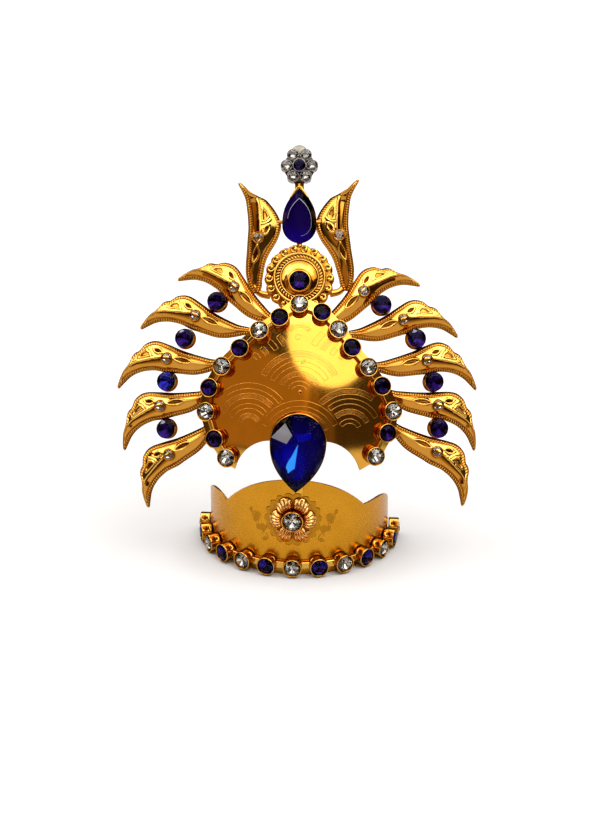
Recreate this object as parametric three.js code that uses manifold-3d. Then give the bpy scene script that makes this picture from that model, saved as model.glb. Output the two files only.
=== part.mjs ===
// Deity crown: a domed shield on a half-round head band, with a fan of stamped leaves, rows of round
// stone cups, two pear-shaped drops, a rosette and a flower finial.
// Millimetres. The origin is the centre of the head band's circle, on the plane that the crown stands on.
// +Z is up, -Y is the front and +X is the viewer's right.

import * as THREE from "three";
import { mergeVertices } from "three/addons/utils/BufferGeometryUtils.js";
import Module from "manifold-3d";

const wasm = await Module();
wasm.setup();

const { degToRad } = THREE.MathUtils;

// General sizes
const SEAT_GAP = 0.3; // clearance between pieces that touch
const SHEET = 0.8; // thickness of the sheet metal
const WELD = 1e-4; // points nearer than this are one point
const LEAN_DEG = 22; // the shield's frame leans back from upright
const LEAN_RISE = 3; // foot of the leaning frame above the origin, along the lean

// Head band
const BAND_RADIUS = 30.2; // outside of the plate
const BAND_TURN_DEG = -4; // the band sits a little turned under the shield
const BAND_END_DEG = 98; // half of the arc
const BAND_COLUMNS = 56;
const HUMP_TOP = 33.6; // height of the middle scallop
const HUMP_POWER = 2.1;
const VALLEY_DEG = 49; // notch between the scallops
const VALLEY_TOP = 21.2;
const LOBE_DEG = 61; // crest of the side scallop
const LEFT_LOBE = { top: 22.8, end: 6.4, fall: 0.75 }; // fall: how soon the outer side drops
const RIGHT_LOBE = { top: 21.1, end: 3.4, fall: 0.5 };

// Round stone cups
const CUP = { radius: 3.1, wall: 0.4, floor: 1, height: 2.9, sides: 10 };
const STONE = { radius: 2.4, table: 1.4, girdle: 1.2, crown: 0.8, sides: 10 };
const BAR = { width: 1.5, low: 0.3, high: 1.5, bite: 0.3 }; // bars between cups

// Row of cups along the foot of the band
const BAND_CUPS_A_SIDE = 6;
const BAND_CUP_STEP_DEG = 15.2;
const BAND_CUP_HEIGHT = 3.6;
const BAND_CUP = { height: 3.5, stoneTop: 3.9 }; // these cups are taller

// Flower on the band
const FLOWER = { height: 19.7, radius: 7.6, petals: 6, dip: 0.2, edge: 0.9, crest: 1.6, sides: 36 };
const FLOWER_CUP = { radius: 3.6, wall: 0.45, floor: 1.9, height: 3.4, sides: 12 };
const FLOWER_STONE = { radius: 2.85, table: 1.7, girdle: 1, crown: 1, sides: 10 };

// Domed shield, in the leaning frame: u across, v up the lean, n to the front
const DOME = { crownV: 39.7, crownN: 45.2, acrossRadius: 72, lowRadius: 70, highRadius: 95 };
const DOME_GRID = { halfU: 36, lowV: 9, highV: 80, columns: 14, rows: 14 };
const EDGE_MARGIN = 2.7; // sheet outside the line of the border cups
const EDGE_STEPS = 48; // straight runs along the border
const HOLLOW_STEPS = 12; // straight runs along each hollow
const LEFT_HOLLOW = { u: -9.5, v: 18.4, radius: 11.4, cornerDeg: 11.5 }; // hollows in the lower edge
const RIGHT_HOLLOW = { u: 7.5, v: 17.3, radius: 12.2, cornerDeg: 13.7 };
const TONGUE = { topU: 3, footU: 1.1, footV: 12.9 }; // strip that laps the band behind the large drop

// Middles of the border cups, from the lower right corner over the apex to the lower left
const BORDER_CUPS = [
  { u: 23.6, v: 25.2 },
  { u: 27.3, v: 32.4 },
  { u: 29, v: 39.2 },
  { u: 25.5, v: 47 },
  { u: 21.3, v: 52.9 },
  { u: 16.2, v: 59 },
  { u: 12.1, v: 64.7 },
  { u: 7, v: 70 },
  { u: 0, v: 72.6 },
  { u: -6.1, v: 68.4 },
  { u: -12.4, v: 64.3 },
  { u: -18.4, v: 58.8 },
  { u: -24, v: 53.2 },
  { u: -27.9, v: 46.5 },
  { u: -29, v: 39 },
  { u: -26.3, v: 30.6 },
  { u: -22.6, v: 24.7 },
];

// Large drop on the foot of the shield: tip down
const FRONT_PEAR = { half: 8.6, round: 9, tip: 16.1, power: 2.3, sides: 28 };
const FRONT_DROP = { u: -0.4, v: 29.9, tiltDeg: 12, rollDeg: -3 };
const FRONT_SETTING = { pocket: 0.25, rim: 0.65, floor: 1.3, height: 3, root: -3 };
const FRONT_STONE = { inset: -0.15, base: 1.6, girdle: 3.2, table: 6, tableShare: 0.58, pull: -2.5 };

// Stamped leaves. The outline is in shares of the length: along the chord, lower edge, upper edge
const LEAF_LENGTH = 36;
const LEAF_OUTLINE = [
  { along: 0, low: -0.03, high: 0.03 },
  { along: 0.1, low: -0.054, high: 0.05 },
  { along: 0.2, low: -0.068, high: 0.09 },
  { along: 0.3, low: -0.06, high: 0.138 },
  { along: 0.4, low: -0.033, high: 0.2 },
  { along: 0.5, low: 0, high: 0.264 },
  { along: 0.6, low: 0.038, high: 0.303 },
  { along: 0.7, low: 0.063, high: 0.286 },
  { along: 0.8, low: 0.068, high: 0.236 },
  { along: 0.9, low: 0.043, high: 0.143 },
  { along: 1, low: -0.009, high: 0.033 },
];
const LEAF_GRID = { columns: 12, rows: 4 };
const LEAF_RIDGE = { root: 0.5, body: 1.5, tip: 0.4, power: 1.5 }; // height and roundness along the middle
const LEAF_STONE = { along: 0.49, up: 0.12 }; // shares of the length
const LEAF_CUP = { radius: 1.9, foot: -0.2, rim: 1.2, top: 1.7, table: 1, sides: 10 };

// Place of each leaf: its stone across, up and to the front, the chord's angle, the backward tilt and the
// droop of both ends in shares of the length
const LEAVES = [
  { name: "left_upright", side: -1, u: 13.4, v: 95.3, n: 32.7, angleDeg: 82, tiltDeg: 5, curl: -0.06 },
  { name: "left_1", side: -1, u: 20.8, v: 79.2, n: 34.9, angleDeg: 24, tiltDeg: 12, curl: 0.05 },
  { name: "left_2", side: -1, u: 33.3, v: 70.1, n: 34.9, angleDeg: 2, tiltDeg: 12, curl: 0 },
  { name: "left_3", side: -1, u: 42.6, v: 56.4, n: 33.9, angleDeg: -12, tiltDeg: 12, curl: 0.14 },
  { name: "left_4", side: -1, u: 44.9, v: 41.2, n: 33.2, angleDeg: -32, tiltDeg: 12, curl: 0.13 },
  { name: "left_5", side: -1, u: 42.1, v: 25.4, n: 33.5, angleDeg: -51, tiltDeg: 12, curl: 0.08 },
  { name: "right_upright", side: 1, u: 12.9, v: 96.1, n: 32.5, angleDeg: 85, tiltDeg: 5, curl: 0.04 },
  { name: "right_1", side: 1, u: 20.4, v: 77.8, n: 35, angleDeg: 23, tiltDeg: 12, curl: 0.06 },
  { name: "right_2", side: 1, u: 33.3, v: 68.8, n: 35, angleDeg: -0.5, tiltDeg: 12, curl: 0.07 },
  { name: "right_3", side: 1, u: 40.9, v: 55.9, n: 34.8, angleDeg: -11.5, tiltDeg: 12, curl: 0.16 },
  { name: "right_4", side: 1, u: 44.7, v: 41.3, n: 34.2, angleDeg: -32, tiltDeg: 10, curl: 0.15 },
  { name: "right_5", side: 1, u: 44.6, v: 26.1, n: 35.7, angleDeg: -48, tiltDeg: 2, curl: 0.1 },
];

// Stones between the leaves of the fan: place of the cup's foot and the way that it faces outward
const SPACER_TILT_DEG = 12;
const SPACER_CUP = { radius: 2.95, wall: 0.35, floor: 1, height: 2.9, sides: 10 };
const SPACER_STONE = { radius: 2.3, table: 1.4, girdle: 1.2, crown: 0.8, sides: 10 };
const SPACERS = [
  { name: "left_1", side: -1, u: 26.5, v: 74.4, n: 35.2, faceDeg: 55 },
  { name: "left_2", side: -1, u: 36.9, v: 62.6, n: 34.3, faceDeg: 32 },
  { name: "left_3", side: -1, u: 42.8, v: 48.8, n: 33.2, faceDeg: 8 },
  { name: "left_4", side: -1, u: 43, v: 33.5, n: 32.6, faceDeg: -18 },
  { name: "right_1", side: 1, u: 26.5, v: 73.3, n: 35.2, faceDeg: 55 },
  { name: "right_2", side: 1, u: 37.6, v: 62.5, n: 34.6, faceDeg: 32 },
  { name: "right_3", side: 1, u: 43.3, v: 48.7, n: 33.9, faceDeg: 8 },
  { name: "right_4", side: 1, u: 44.8, v: 33.7, n: 34.3, faceDeg: -18 },
];

// Crest above the shield: rosette, smaller drop and finial share one plane that leans further back
const CREST = { v: 81.4, n: 34.7, tiltDeg: 8 };
const ROSETTE = { radius: 11.4, lobes: 18, dip: 0.09, sides: 54 };
const ROSETTE_ROWS = [
  { share: 0, z: 0 },
  { share: 1, z: 0 },
  { share: 1, z: 1.2 },
  { share: 0.78, z: 1.3 },
  { share: 0.74, z: 2 },
  { share: 0.68, z: 1.5 },
  { share: 0.54, z: 1.5 },
  { share: 0.5, z: 2.2 },
  { share: 0.36, z: 2.4 },
  { share: 0.34, z: 3.4 },
  { share: 0.3, z: 3.4 },
  { share: 0.3, z: 1.9 },
  { share: 0, z: 1.9 },
];
const ROUND_SHARE = 0.8; // rows inside this share of the radius are plain circles
const ROSETTE_STONE = { base: 2.2, radius: 3.1, table: 1.8, girdle: 1.4, crown: 1.1, sides: 10 };

const TOP_PEAR = { half: 5.6, round: 5.8, tip: 11.7, power: 2.7, sides: 24 };
const TOP_DROP = { y: 18 };
const TOP_SETTING = { inset: -0.3, back: 0, front: 1.3 };
const TOP_STONE = { base: 1.6, girdle: 2.6, shoulder: 4.2, table: 4.9 };
const TOP_STONE_SHARE = { shoulder: 0.78, table: 0.4 }; // of the outline
const NECK = { halfWidth: 1.5, fromY: 28, toY: 37.7, thickness: 1.3 }; // strip up to the finial
const LUG = { halfWidth: 0.9, fromY: 11.2, toY: 14, thickness: 1.3 }; // strip down to the rosette

const FINIAL = { y: 37.7, petalRing: 4.05, petals: 6, plateRadius: 4.6, plate: 1 };
const FINIAL_CUP = { radius: 1.95, rim: 2.6, lip: 0.3, table: 1, top: 3.2, sides: 10 };
const FINIAL_CENTRE = { radius: 2.2, wall: 0.4, floor: 1.6, height: 3, sides: 10 };
const FINIAL_STONE = { radius: 1.5, table: 0.9, girdle: 1.1, crown: 0.8, sides: 8 };
const FINIAL_BACK = { y: 4.6, radius: 2.8, depth: 0.9 }; // pale round backing that shows above the petals

const GOLD = { color: 0xe0a526, roughness: 0.25, metalness: 1 };
const SILVER = { color: 0xc9c9c4, roughness: 0.2, metalness: 1 };
const BLUE = { color: 0x101a8c, roughness: 0.05, metalness: 0 };
const CLEAR = { color: 0xe8ecee, roughness: 0.05, metalness: 0 };

// Shared vertices only, without triangles that have shrunk to a line
function welded(geometry) {
  const bare = geometry.clone();
  bare.deleteAttribute("normal");
  bare.deleteAttribute("uv");
  const merged = mergeVertices(bare, WELD);
  const kept = [];
  const corners = merged.index.array;
  for (let i = 0; i < corners.length; i += 3) {
    const [a, b, c] = [corners[i], corners[i + 1], corners[i + 2]];
    if (a !== b && b !== c && c !== a) {
      kept.push(a, b, c);
    }
  }
  merged.setIndex(kept);
  return merged;
}

function aroundAxis(radius, angle) {
  return new THREE.Vector2(radius * Math.cos(angle), radius * Math.sin(angle));
}

// Turned solid about +Z. The rows run from the axis at the back, round the outside, to the axis in front.
// spot(row, angle) gives a point across the axis where the outline isn't a circle.
function turned(rows, sides, spot) {
  const profile = rows.map((row) => new THREE.Vector2(row.r ?? 1, row.z));
  const geometry = new THREE.LatheGeometry(profile, sides);
  const points = geometry.getAttribute("position");
  for (let i = 0; i < points.count; i += 1) {
    const row = rows[i % rows.length];
    const angle = (2 * Math.PI * (Math.floor(i / rows.length) % sides)) / sides;
    const { x, y } = spot ? spot(row, angle) : aroundAxis(row.r, angle);
    points.setXYZ(i, x, y, row.z);
  }
  return welded(geometry);
}

// Bent plate: place(across, up, front) maps a flat grid of unit size to points
function bentPlate(columns, rows, place) {
  const geometry = new THREE.BoxGeometry(1, 1, 1, columns, rows, 1);
  const points = geometry.getAttribute("position");
  for (let i = 0; i < points.count; i += 1) {
    const spot = place(points.getX(i) + 0.5, points.getY(i) + 0.5, points.getZ(i) > 0);
    points.setXYZ(i, spot.x, spot.y, spot.z);
  }
  return welded(geometry);
}

function mirrored(geometry) {
  const flipped = geometry.clone().scale(1, -1, 1);
  const corners = Array.from(flipped.index.array);
  for (let i = 0; i < corners.length; i += 3) {
    [corners[i + 1], corners[i + 2]] = [corners[i + 2], corners[i + 1]];
  }
  flipped.setIndex(corners);
  return flipped;
}

function toSolid(geometry, matrix = new THREE.Matrix4()) {
  const placed = geometry.clone().applyMatrix4(matrix);
  const mesh = new wasm.Mesh({
    numProp: 3,
    vertProperties: new Float32Array(placed.getAttribute("position").array),
    triVerts: new Uint32Array(placed.index.array),
  });
  return new wasm.Manifold(mesh);
}

function toGeometry(solid) {
  const mesh = solid.getMesh();
  const geometry = new THREE.BufferGeometry();
  geometry.setAttribute("position", new THREE.BufferAttribute(new Float32Array(mesh.vertProperties), 3));
  geometry.setIndex(new THREE.BufferAttribute(new Uint32Array(mesh.triVerts), 1));
  return geometry;
}

function joined(solids) {
  return toGeometry(solids.reduce((whole, solid) => whole.add(solid)));
}

// Frame on a surface: +Z along the normal, +X along the given direction
function frameAt(point, normal, along) {
  const z = normal.clone().normalize();
  const y = new THREE.Vector3().crossVectors(z, along).normalize();
  const x = new THREE.Vector3().crossVectors(y, z);
  return new THREE.Matrix4().makeBasis(x, y, z).setPosition(point);
}

function addMesh(group, name, geometry, finish, matrix) {
  const mesh = new THREE.Mesh(geometry, new THREE.MeshStandardMaterial(finish));
  mesh.name = name;
  if (matrix) {
    matrix.decompose(mesh.position, mesh.quaternion, mesh.scale);
  }
  group.add(mesh);
}

// Round cup with an open pocket
function cupGeometry(cup) {
  const inner = cup.radius - cup.wall;
  const rows = [
    { r: 0, z: 0 },
    { r: cup.radius, z: 0 },
    { r: cup.radius, z: cup.height },
    { r: inner, z: cup.height },
    { r: inner, z: cup.floor },
    { r: 0, z: cup.floor },
  ];
  return turned(rows, cup.sides);
}

// Cut stone with a table, standing on its flat back
function stoneGeometry(stone, base = 0) {
  const rows = [
    { r: 0, z: base },
    { r: stone.radius, z: base },
    { r: stone.radius, z: base + stone.girdle },
    { r: stone.table, z: base + stone.girdle + stone.crown },
    { r: 0, z: base + stone.girdle + stone.crown },
  ];
  return turned(rows, stone.sides);
}

// Cup filled by its stone, as one solid
function filledCupGeometry(radius, rim, lip, table, top, sides) {
  const rows = [
    { r: 0, z: 0 },
    { r: radius, z: 0 },
    { r: radius, z: rim },
    { r: radius - lip, z: rim },
    { r: table, z: top },
    { r: 0, z: top },
  ];
  return turned(rows, sides);
}

// Bars that join neighbouring cups of a row. Each bar bites a little into both cup walls.
function barSolids(frames, cup) {
  const bars = [];
  for (let i = 1; i < frames.length; i += 1) {
    const start = new THREE.Vector3().setFromMatrixPosition(frames[i - 1]);
    const end = new THREE.Vector3().setFromMatrixPosition(frames[i]);
    const along = end.clone().sub(start);
    const length = along.length() - 2 * (cup.radius - BAR.bite);
    const up = new THREE.Vector3().setFromMatrixColumn(frames[i - 1], 2);
    up.add(new THREE.Vector3().setFromMatrixColumn(frames[i], 2));
    const frame = frameAt(start.add(end).multiplyScalar(0.5), up, along);
    const bar = new THREE.BoxGeometry(length, BAR.width, BAR.high - BAR.low);
    bar.translate(0, 0, (BAR.low + BAR.high) / 2);
    bars.push(toSolid(welded(bar), frame));
  }
  return bars;
}

// Point on a pear's outline, round end up and tip down, grown outward by offset
function pearSpot(pear, angle, offset = 0) {
  const rise = Math.sin(angle);
  const side = Math.cos(angle);
  const spot = new THREE.Vector2(pear.half * side, pear.round * rise);
  if (rise < 0) {
    const drop = Math.asin(-rise) / (Math.PI / 2);
    spot.set(Math.sign(side) * pear.half * (1 - drop ** pear.power), -pear.tip * drop);
  }
  return spot.setLength(spot.length() + offset);
}

// Band: height of the top edge at an angle from the front
function bandTop(degrees) {
  const turn = Math.abs(degrees);
  if (turn <= VALLEY_DEG) {
    return HUMP_TOP - (HUMP_TOP - VALLEY_TOP) * (turn / VALLEY_DEG) ** HUMP_POWER;
  }
  const lobe = degrees < 0 ? LEFT_LOBE : RIGHT_LOBE;
  if (turn <= LOBE_DEG) {
    return lobe.top - (lobe.top - VALLEY_TOP) * ((LOBE_DEG - turn) / (LOBE_DEG - VALLEY_DEG)) ** 2;
  }
  const past = (turn - LOBE_DEG) / (BAND_END_DEG - LOBE_DEG);
  return lobe.end + (lobe.top - lobe.end) * Math.max(0, 1 - past ** 2) ** lobe.fall;
}

function bandSpot(radius, angle, z) {
  return new THREE.Vector3(radius * Math.sin(angle), -radius * Math.cos(angle), z);
}

function bandGeometry() {
  return bentPlate(BAND_COLUMNS, 1, (across, up, front) => {
    const degrees = BAND_END_DEG * (2 * across - 1);
    const radius = front ? BAND_RADIUS : BAND_RADIUS - SHEET;
    return bandSpot(radius, degToRad(degrees), up * bandTop(degrees));
  });
}

// Frame on the outside of the band
function bandFrame(degrees, z) {
  const angle = degToRad(degrees);
  const normal = bandSpot(1, angle, 0);
  const along = new THREE.Vector3(Math.cos(angle), Math.sin(angle), 0);
  return frameAt(bandSpot(BAND_RADIUS + SEAT_GAP, angle, z), normal, along);
}

function bandChainGeometry() {
  const frames = [];
  for (let i = -BAND_CUPS_A_SIDE; i <= BAND_CUPS_A_SIDE; i += 1) {
    frames.push(bandFrame(i * BAND_CUP_STEP_DEG, BAND_CUP_HEIGHT));
  }
  const { height, stoneTop } = BAND_CUP;
  const filled = filledCupGeometry(CUP.radius, height, CUP.wall, STONE.table, stoneTop, CUP.sides);
  const cups = frames.map((frame) => toSolid(filled, frame));
  return joined([...cups, ...barSolids(frames, CUP)]);
}

// Ribbed flower bent to the band's curve, with a pocket for its stone
function flowerGeometry() {
  const inner = FLOWER_CUP.radius - FLOWER_CUP.wall;
  const rows = [
    { r: 0, z: 0 },
    { r: FLOWER.radius / 2, z: 0 },
    { r: FLOWER.radius, z: 0 },
    { r: FLOWER.radius, z: FLOWER.edge },
    { r: (FLOWER.radius + FLOWER_CUP.radius) / 2, z: FLOWER.crest },
    { r: FLOWER_CUP.radius, z: FLOWER.edge },
    { r: FLOWER_CUP.radius, z: FLOWER_CUP.height },
    { r: inner, z: FLOWER_CUP.height },
    { r: inner, z: FLOWER_CUP.floor },
    { r: 0, z: FLOWER_CUP.floor },
  ];
  const flat = turned(rows, FLOWER.sides, (row, angle) => {
    const petal = Math.abs(Math.cos((angle * FLOWER.petals) / 2));
    const radius = row.r > FLOWER_CUP.radius ? row.r * (1 - FLOWER.dip * (1 - petal)) : row.r;
    return aroundAxis(radius, angle);
  });
  const points = flat.getAttribute("position");
  for (let i = 0; i < points.count; i += 1) {
    const radius = BAND_RADIUS + SEAT_GAP + points.getZ(i);
    const spot = bandSpot(radius, points.getX(i) / BAND_RADIUS, FLOWER.height + points.getY(i));
    points.setXYZ(i, spot.x, spot.y, spot.z);
  }
  return flat;
}

// Shield: depth of the middle of its sheet, and the outward normal there
function domeDepth(u, v) {
  const upRadius = v < DOME.crownV ? DOME.lowRadius : DOME.highRadius;
  const rise = v - DOME.crownV;
  const acrossDrop = DOME.acrossRadius - Math.sqrt(DOME.acrossRadius ** 2 - u ** 2);
  const upDrop = upRadius - Math.sqrt(upRadius ** 2 - rise ** 2);
  return DOME.crownN - acrossDrop - upDrop;
}

function domeNormal(u, v) {
  const upRadius = v < DOME.crownV ? DOME.lowRadius : DOME.highRadius;
  const rise = v - DOME.crownV;
  const slopeU = u / Math.sqrt(DOME.acrossRadius ** 2 - u ** 2);
  const slopeV = rise / Math.sqrt(upRadius ** 2 - rise ** 2);
  return new THREE.Vector3(slopeU, slopeV, 1).normalize();
}

function domePlate(frontOffset, backOffset) {
  const { halfU, lowV, highV, columns, rows } = DOME_GRID;
  return bentPlate(columns, rows, (across, up, front) => {
    const u = halfU * (2 * across - 1);
    const v = lowV + (highV - lowV) * up;
    return new THREE.Vector3(u, v, domeDepth(u, v) + (front ? frontOffset : backOffset));
  });
}

// Line through the border cups
const borderLine = new THREE.CatmullRomCurve3(BORDER_CUPS.map((cup) => new THREE.Vector3(cup.u, cup.v, 0)));

// Sheet's edge: down the tongue, round each hollow to its corner, then outside the border cups
function shieldOutline() {
  const shape = new THREE.Shape();
  const { topU, footU, footV } = TONGUE;
  const { PI } = Math;
  const right = RIGHT_HOLLOW;
  const left = LEFT_HOLLOW;
  const rightTop = PI - Math.acos((right.u - topU) / right.radius);
  const leftTop = Math.acos((-left.u - topU) / left.radius);
  shape.moveTo(-footU, footV);
  shape.lineTo(footU, footV);
  shape.absarc(right.u, right.v, right.radius, rightTop, degToRad(right.cornerDeg), true);
  for (let i = 0; i <= EDGE_STEPS; i += 1) {
    const spot = borderLine.getPoint(i / EDGE_STEPS);
    const along = borderLine.getTangent(i / EDGE_STEPS);
    shape.lineTo(spot.x + EDGE_MARGIN * along.y, spot.y - EDGE_MARGIN * along.x);
  }
  shape.absarc(left.u, left.v, left.radius, PI - degToRad(left.cornerDeg), leftTop, true);
  return shape;
}

function shieldGeometry() {
  const reach = { depth: 2 * DOME.crownN, bevelEnabled: false, curveSegments: HOLLOW_STEPS };
  const blank = new THREE.ExtrudeGeometry(shieldOutline(), reach);
  const dome = toSolid(domePlate(SHEET / 2, -SHEET / 2));
  return toGeometry(dome.intersect(toSolid(welded(blank))));
}

function borderFrames() {
  return BORDER_CUPS.map(({ u, v }, i) => {
    const normal = domeNormal(u, v);
    const foot = new THREE.Vector3(u, v, domeDepth(u, v));
    foot.addScaledVector(normal, SHEET / 2 + SEAT_GAP);
    return frameAt(foot, normal, borderLine.getTangent(i / (BORDER_CUPS.length - 1)));
  });
}

// Pear-shaped cup whose back is cut to the shield's dome
function frontSettingGeometry(frame) {
  const { pocket, rim, floor, height, root } = FRONT_SETTING;
  const rows = [
    { r: 0, grow: 0, z: root },
    { grow: rim, z: root },
    { grow: rim, z: height },
    { grow: pocket, z: height },
    { grow: pocket, z: floor },
    { r: 0, grow: 0, z: floor },
  ];
  const cup = turned(rows, FRONT_PEAR.sides, (row, angle) =>
    row.r === 0 ? new THREE.Vector2() : pearSpot(FRONT_PEAR, angle, row.grow),
  );
  const behind = toSolid(domePlate(SHEET / 2 + SEAT_GAP, -DOME.crownN / 2));
  return toGeometry(toSolid(cup, frame).subtract(behind));
}

// Faceted pear: straight girdle and a crown that slopes to a flat table
function pearStoneGeometry(pear, rows) {
  return turned(rows, pear.sides, (row, angle) => {
    if (row.share === 0) {
      return new THREE.Vector2(0, row.pull ?? 0);
    }
    const spot = pearSpot(pear, angle, row.grow ?? 0).multiplyScalar(row.share);
    return spot.add(new THREE.Vector2(0, row.pull ?? 0));
  });
}

function frontStoneGeometry() {
  const { inset, base, girdle, table, tableShare, pull } = FRONT_STONE;
  return pearStoneGeometry(FRONT_PEAR, [
    { r: 0, share: 0, z: base },
    { share: 1, grow: inset, z: base },
    { share: 1, grow: inset, z: girdle },
    { share: tableShare, pull, z: table },
    { r: 0, share: 0, pull, z: table },
  ]);
}

// Leaf: edges across the chord at a share of the length
const leafEdges = new THREE.CubicInterpolant(
  LEAF_OUTLINE.map((row) => row.along),
  LEAF_OUTLINE.flatMap((row) => [row.low, row.high]),
  2,
);

function leafRidge(along) {
  const { root, body, tip } = LEAF_RIDGE;
  const rise = Math.min(1, along / LEAF_STONE.along);
  const fall = Math.max(0, (along - LEAF_STONE.along) / (1 - LEAF_STONE.along));
  return THREE.MathUtils.lerp(THREE.MathUtils.lerp(root, body, rise), tip, fall);
}

// Leaf with its small stone, which lies at the origin of the leaf's own frame
function leafGeometry({ side, curl }) {
  const blade = bentPlate(LEAF_GRID.columns, LEAF_GRID.rows, (across, up, front) => {
    const [low, high] = leafEdges.evaluate(across);
    const height = leafRidge(across) * (1 - Math.abs(2 * up - 1) ** LEAF_RIDGE.power);
    const reach = across - LEAF_STONE.along;
    const rise = low + (high - low) * up - LEAF_STONE.up - curl * reach ** 2;
    const x = reach * LEAF_LENGTH;
    const y = rise * LEAF_LENGTH;
    return new THREE.Vector3(x, y, height + (front ? SHEET / 2 : -SHEET / 2));
  });
  const { radius, foot, rim, top, table, sides } = LEAF_CUP;
  const stone = filledCupGeometry(radius, rim - foot, CUP.wall, table, top - foot, sides);
  stone.translate(0, 0, LEAF_RIDGE.body + foot);
  const leaf = toGeometry(toSolid(blade).add(toSolid(stone)));
  return side > 0 ? leaf : mirrored(leaf);
}

function leafFrame(leaf) {
  const angle = leaf.side > 0 ? degToRad(leaf.angleDeg) : Math.PI - degToRad(leaf.angleDeg);
  const frame = new THREE.Matrix4().makeRotationZ(angle);
  frame.multiply(new THREE.Matrix4().makeRotationY(degToRad(leaf.tiltDeg)));
  return frame.setPosition(leaf.side * leaf.u, leaf.v, leaf.n);
}

function spacerFrame(spacer) {
  const face = spacer.side > 0 ? degToRad(spacer.faceDeg) : Math.PI - degToRad(spacer.faceDeg);
  const outward = new THREE.Vector3(Math.cos(face), Math.sin(face), 0);
  const normal = new THREE.Vector3(0, 0, 1).addScaledVector(outward, Math.tan(degToRad(SPACER_TILT_DEG)));
  const foot = new THREE.Vector3(spacer.side * spacer.u, spacer.v, spacer.n);
  return frameAt(foot, normal, new THREE.Vector3(1, 0, 0));
}

// Rosette with a lobed rim, a raised ring and a pocket for its stone
function rosetteGeometry() {
  const rows = ROSETTE_ROWS.map((row) => ({ ...row, r: row.share }));
  return turned(rows, ROSETTE.sides, (row, angle) => {
    const lobe = Math.abs(Math.cos((angle * ROSETTE.lobes) / 2));
    const dip = row.share > ROUND_SHARE ? ROSETTE.dip * (1 - lobe) : 0;
    const radius = ROSETTE.radius * row.share * (1 - dip);
    return aroundAxis(radius, angle);
  });
}

function stripSolid({ halfWidth, fromY, toY, thickness }) {
  const strip = new THREE.BoxGeometry(2 * halfWidth, toY - fromY, thickness);
  strip.translate(0, (fromY + toY) / 2, thickness / 2);
  return toSolid(welded(strip));
}

// Tray under the smaller drop, with a neck that runs up behind the finial and a lug above the rosette
function topSettingGeometry() {
  const { inset, back, front } = TOP_SETTING;
  const turn = new THREE.Matrix4().makeRotationZ(Math.PI).setPosition(0, TOP_DROP.y, 0);
  const tray = pearStoneGeometry(TOP_PEAR, [
    { r: 0, share: 0, z: back },
    { share: 1, grow: inset, z: back },
    { share: 1, grow: inset, z: front },
    { r: 0, share: 0, z: front },
  ]);
  return joined([toSolid(tray, turn), stripSolid(NECK), stripSolid(LUG)]);
}

function topStoneGeometry() {
  const { base, girdle, shoulder, table } = TOP_STONE;
  return pearStoneGeometry(TOP_PEAR, [
    { r: 0, share: 0, z: base },
    { share: 1, z: base },
    { share: 1, z: girdle },
    { share: TOP_STONE_SHARE.shoulder, z: shoulder },
    { share: TOP_STONE_SHARE.table, z: table },
    { r: 0, share: 0, z: table },
  ]).rotateZ(Math.PI);
}

// Flower of six filled cups on a plate, with a pocket in the middle
function finialGeometry() {
  const { radius, rim, lip, table, top, sides } = FINIAL_CUP;
  const petal = filledCupGeometry(radius, rim, lip, table, top, sides);
  const solids = [];
  for (let i = 0; i < FINIAL.petals; i += 1) {
    const angle = (2 * Math.PI * i) / FINIAL.petals;
    const place = new THREE.Matrix4().makeTranslation(
      FINIAL.petalRing * Math.cos(angle),
      FINIAL.petalRing * Math.sin(angle),
      0,
    );
    solids.push(toSolid(petal, place));
  }
  const { plateRadius, plate: plateDepth } = FINIAL;
  const plate = new THREE.CylinderGeometry(plateRadius, plateRadius, plateDepth, 2 * sides);
  plate.rotateX(Math.PI / 2).translate(0, 0, plateDepth / 2);
  const back = new THREE.CylinderGeometry(FINIAL_BACK.radius, FINIAL_BACK.radius, FINIAL_BACK.depth, sides);
  back.rotateX(Math.PI / 2).translate(0, FINIAL_BACK.y, FINIAL_BACK.depth / 2);
  const pocket = toSolid(cupGeometry(FINIAL_CENTRE));
  return joined([...solids, toSolid(welded(plate)), toSolid(welded(back)), pocket]);
}

const crown = new THREE.Group();

// Head band with its row of cups and its flower
const band = new THREE.Group();
band.rotation.z = degToRad(BAND_TURN_DEG);
crown.add(band);
addMesh(band, "head_band", bandGeometry(), GOLD);
addMesh(band, "band_chain", bandChainGeometry(), GOLD);
addMesh(band, "band_flower", flowerGeometry(), GOLD);
const flowerStone = stoneGeometry(FLOWER_STONE, FLOWER_CUP.floor + SEAT_GAP);
addMesh(band, "band_flower_stone", flowerStone, CLEAR, bandFrame(0, FLOWER.height));

// Leaning frame that carries everything above the band
const lean = new THREE.Group();
lean.rotation.x = degToRad(90 - LEAN_DEG);
lean.position.set(0, LEAN_RISE * Math.sin(degToRad(LEAN_DEG)), LEAN_RISE * Math.cos(degToRad(LEAN_DEG)));
crown.add(lean);
addMesh(lean, "shield", shieldGeometry(), GOLD);

const cupFrames = borderFrames();
const borderCups = cupFrames.map((frame) => toSolid(cupGeometry(CUP), frame));
addMesh(lean, "border_chain", joined([...borderCups, ...barSolids(cupFrames, CUP)]), GOLD);
const roundStone = stoneGeometry(STONE, CUP.floor + SEAT_GAP);
cupFrames.forEach((frame, i) => {
  addMesh(lean, `border_stone_${i + 1}`, roundStone, i % 2 === 0 ? CLEAR : BLUE, frame);
});

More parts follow.
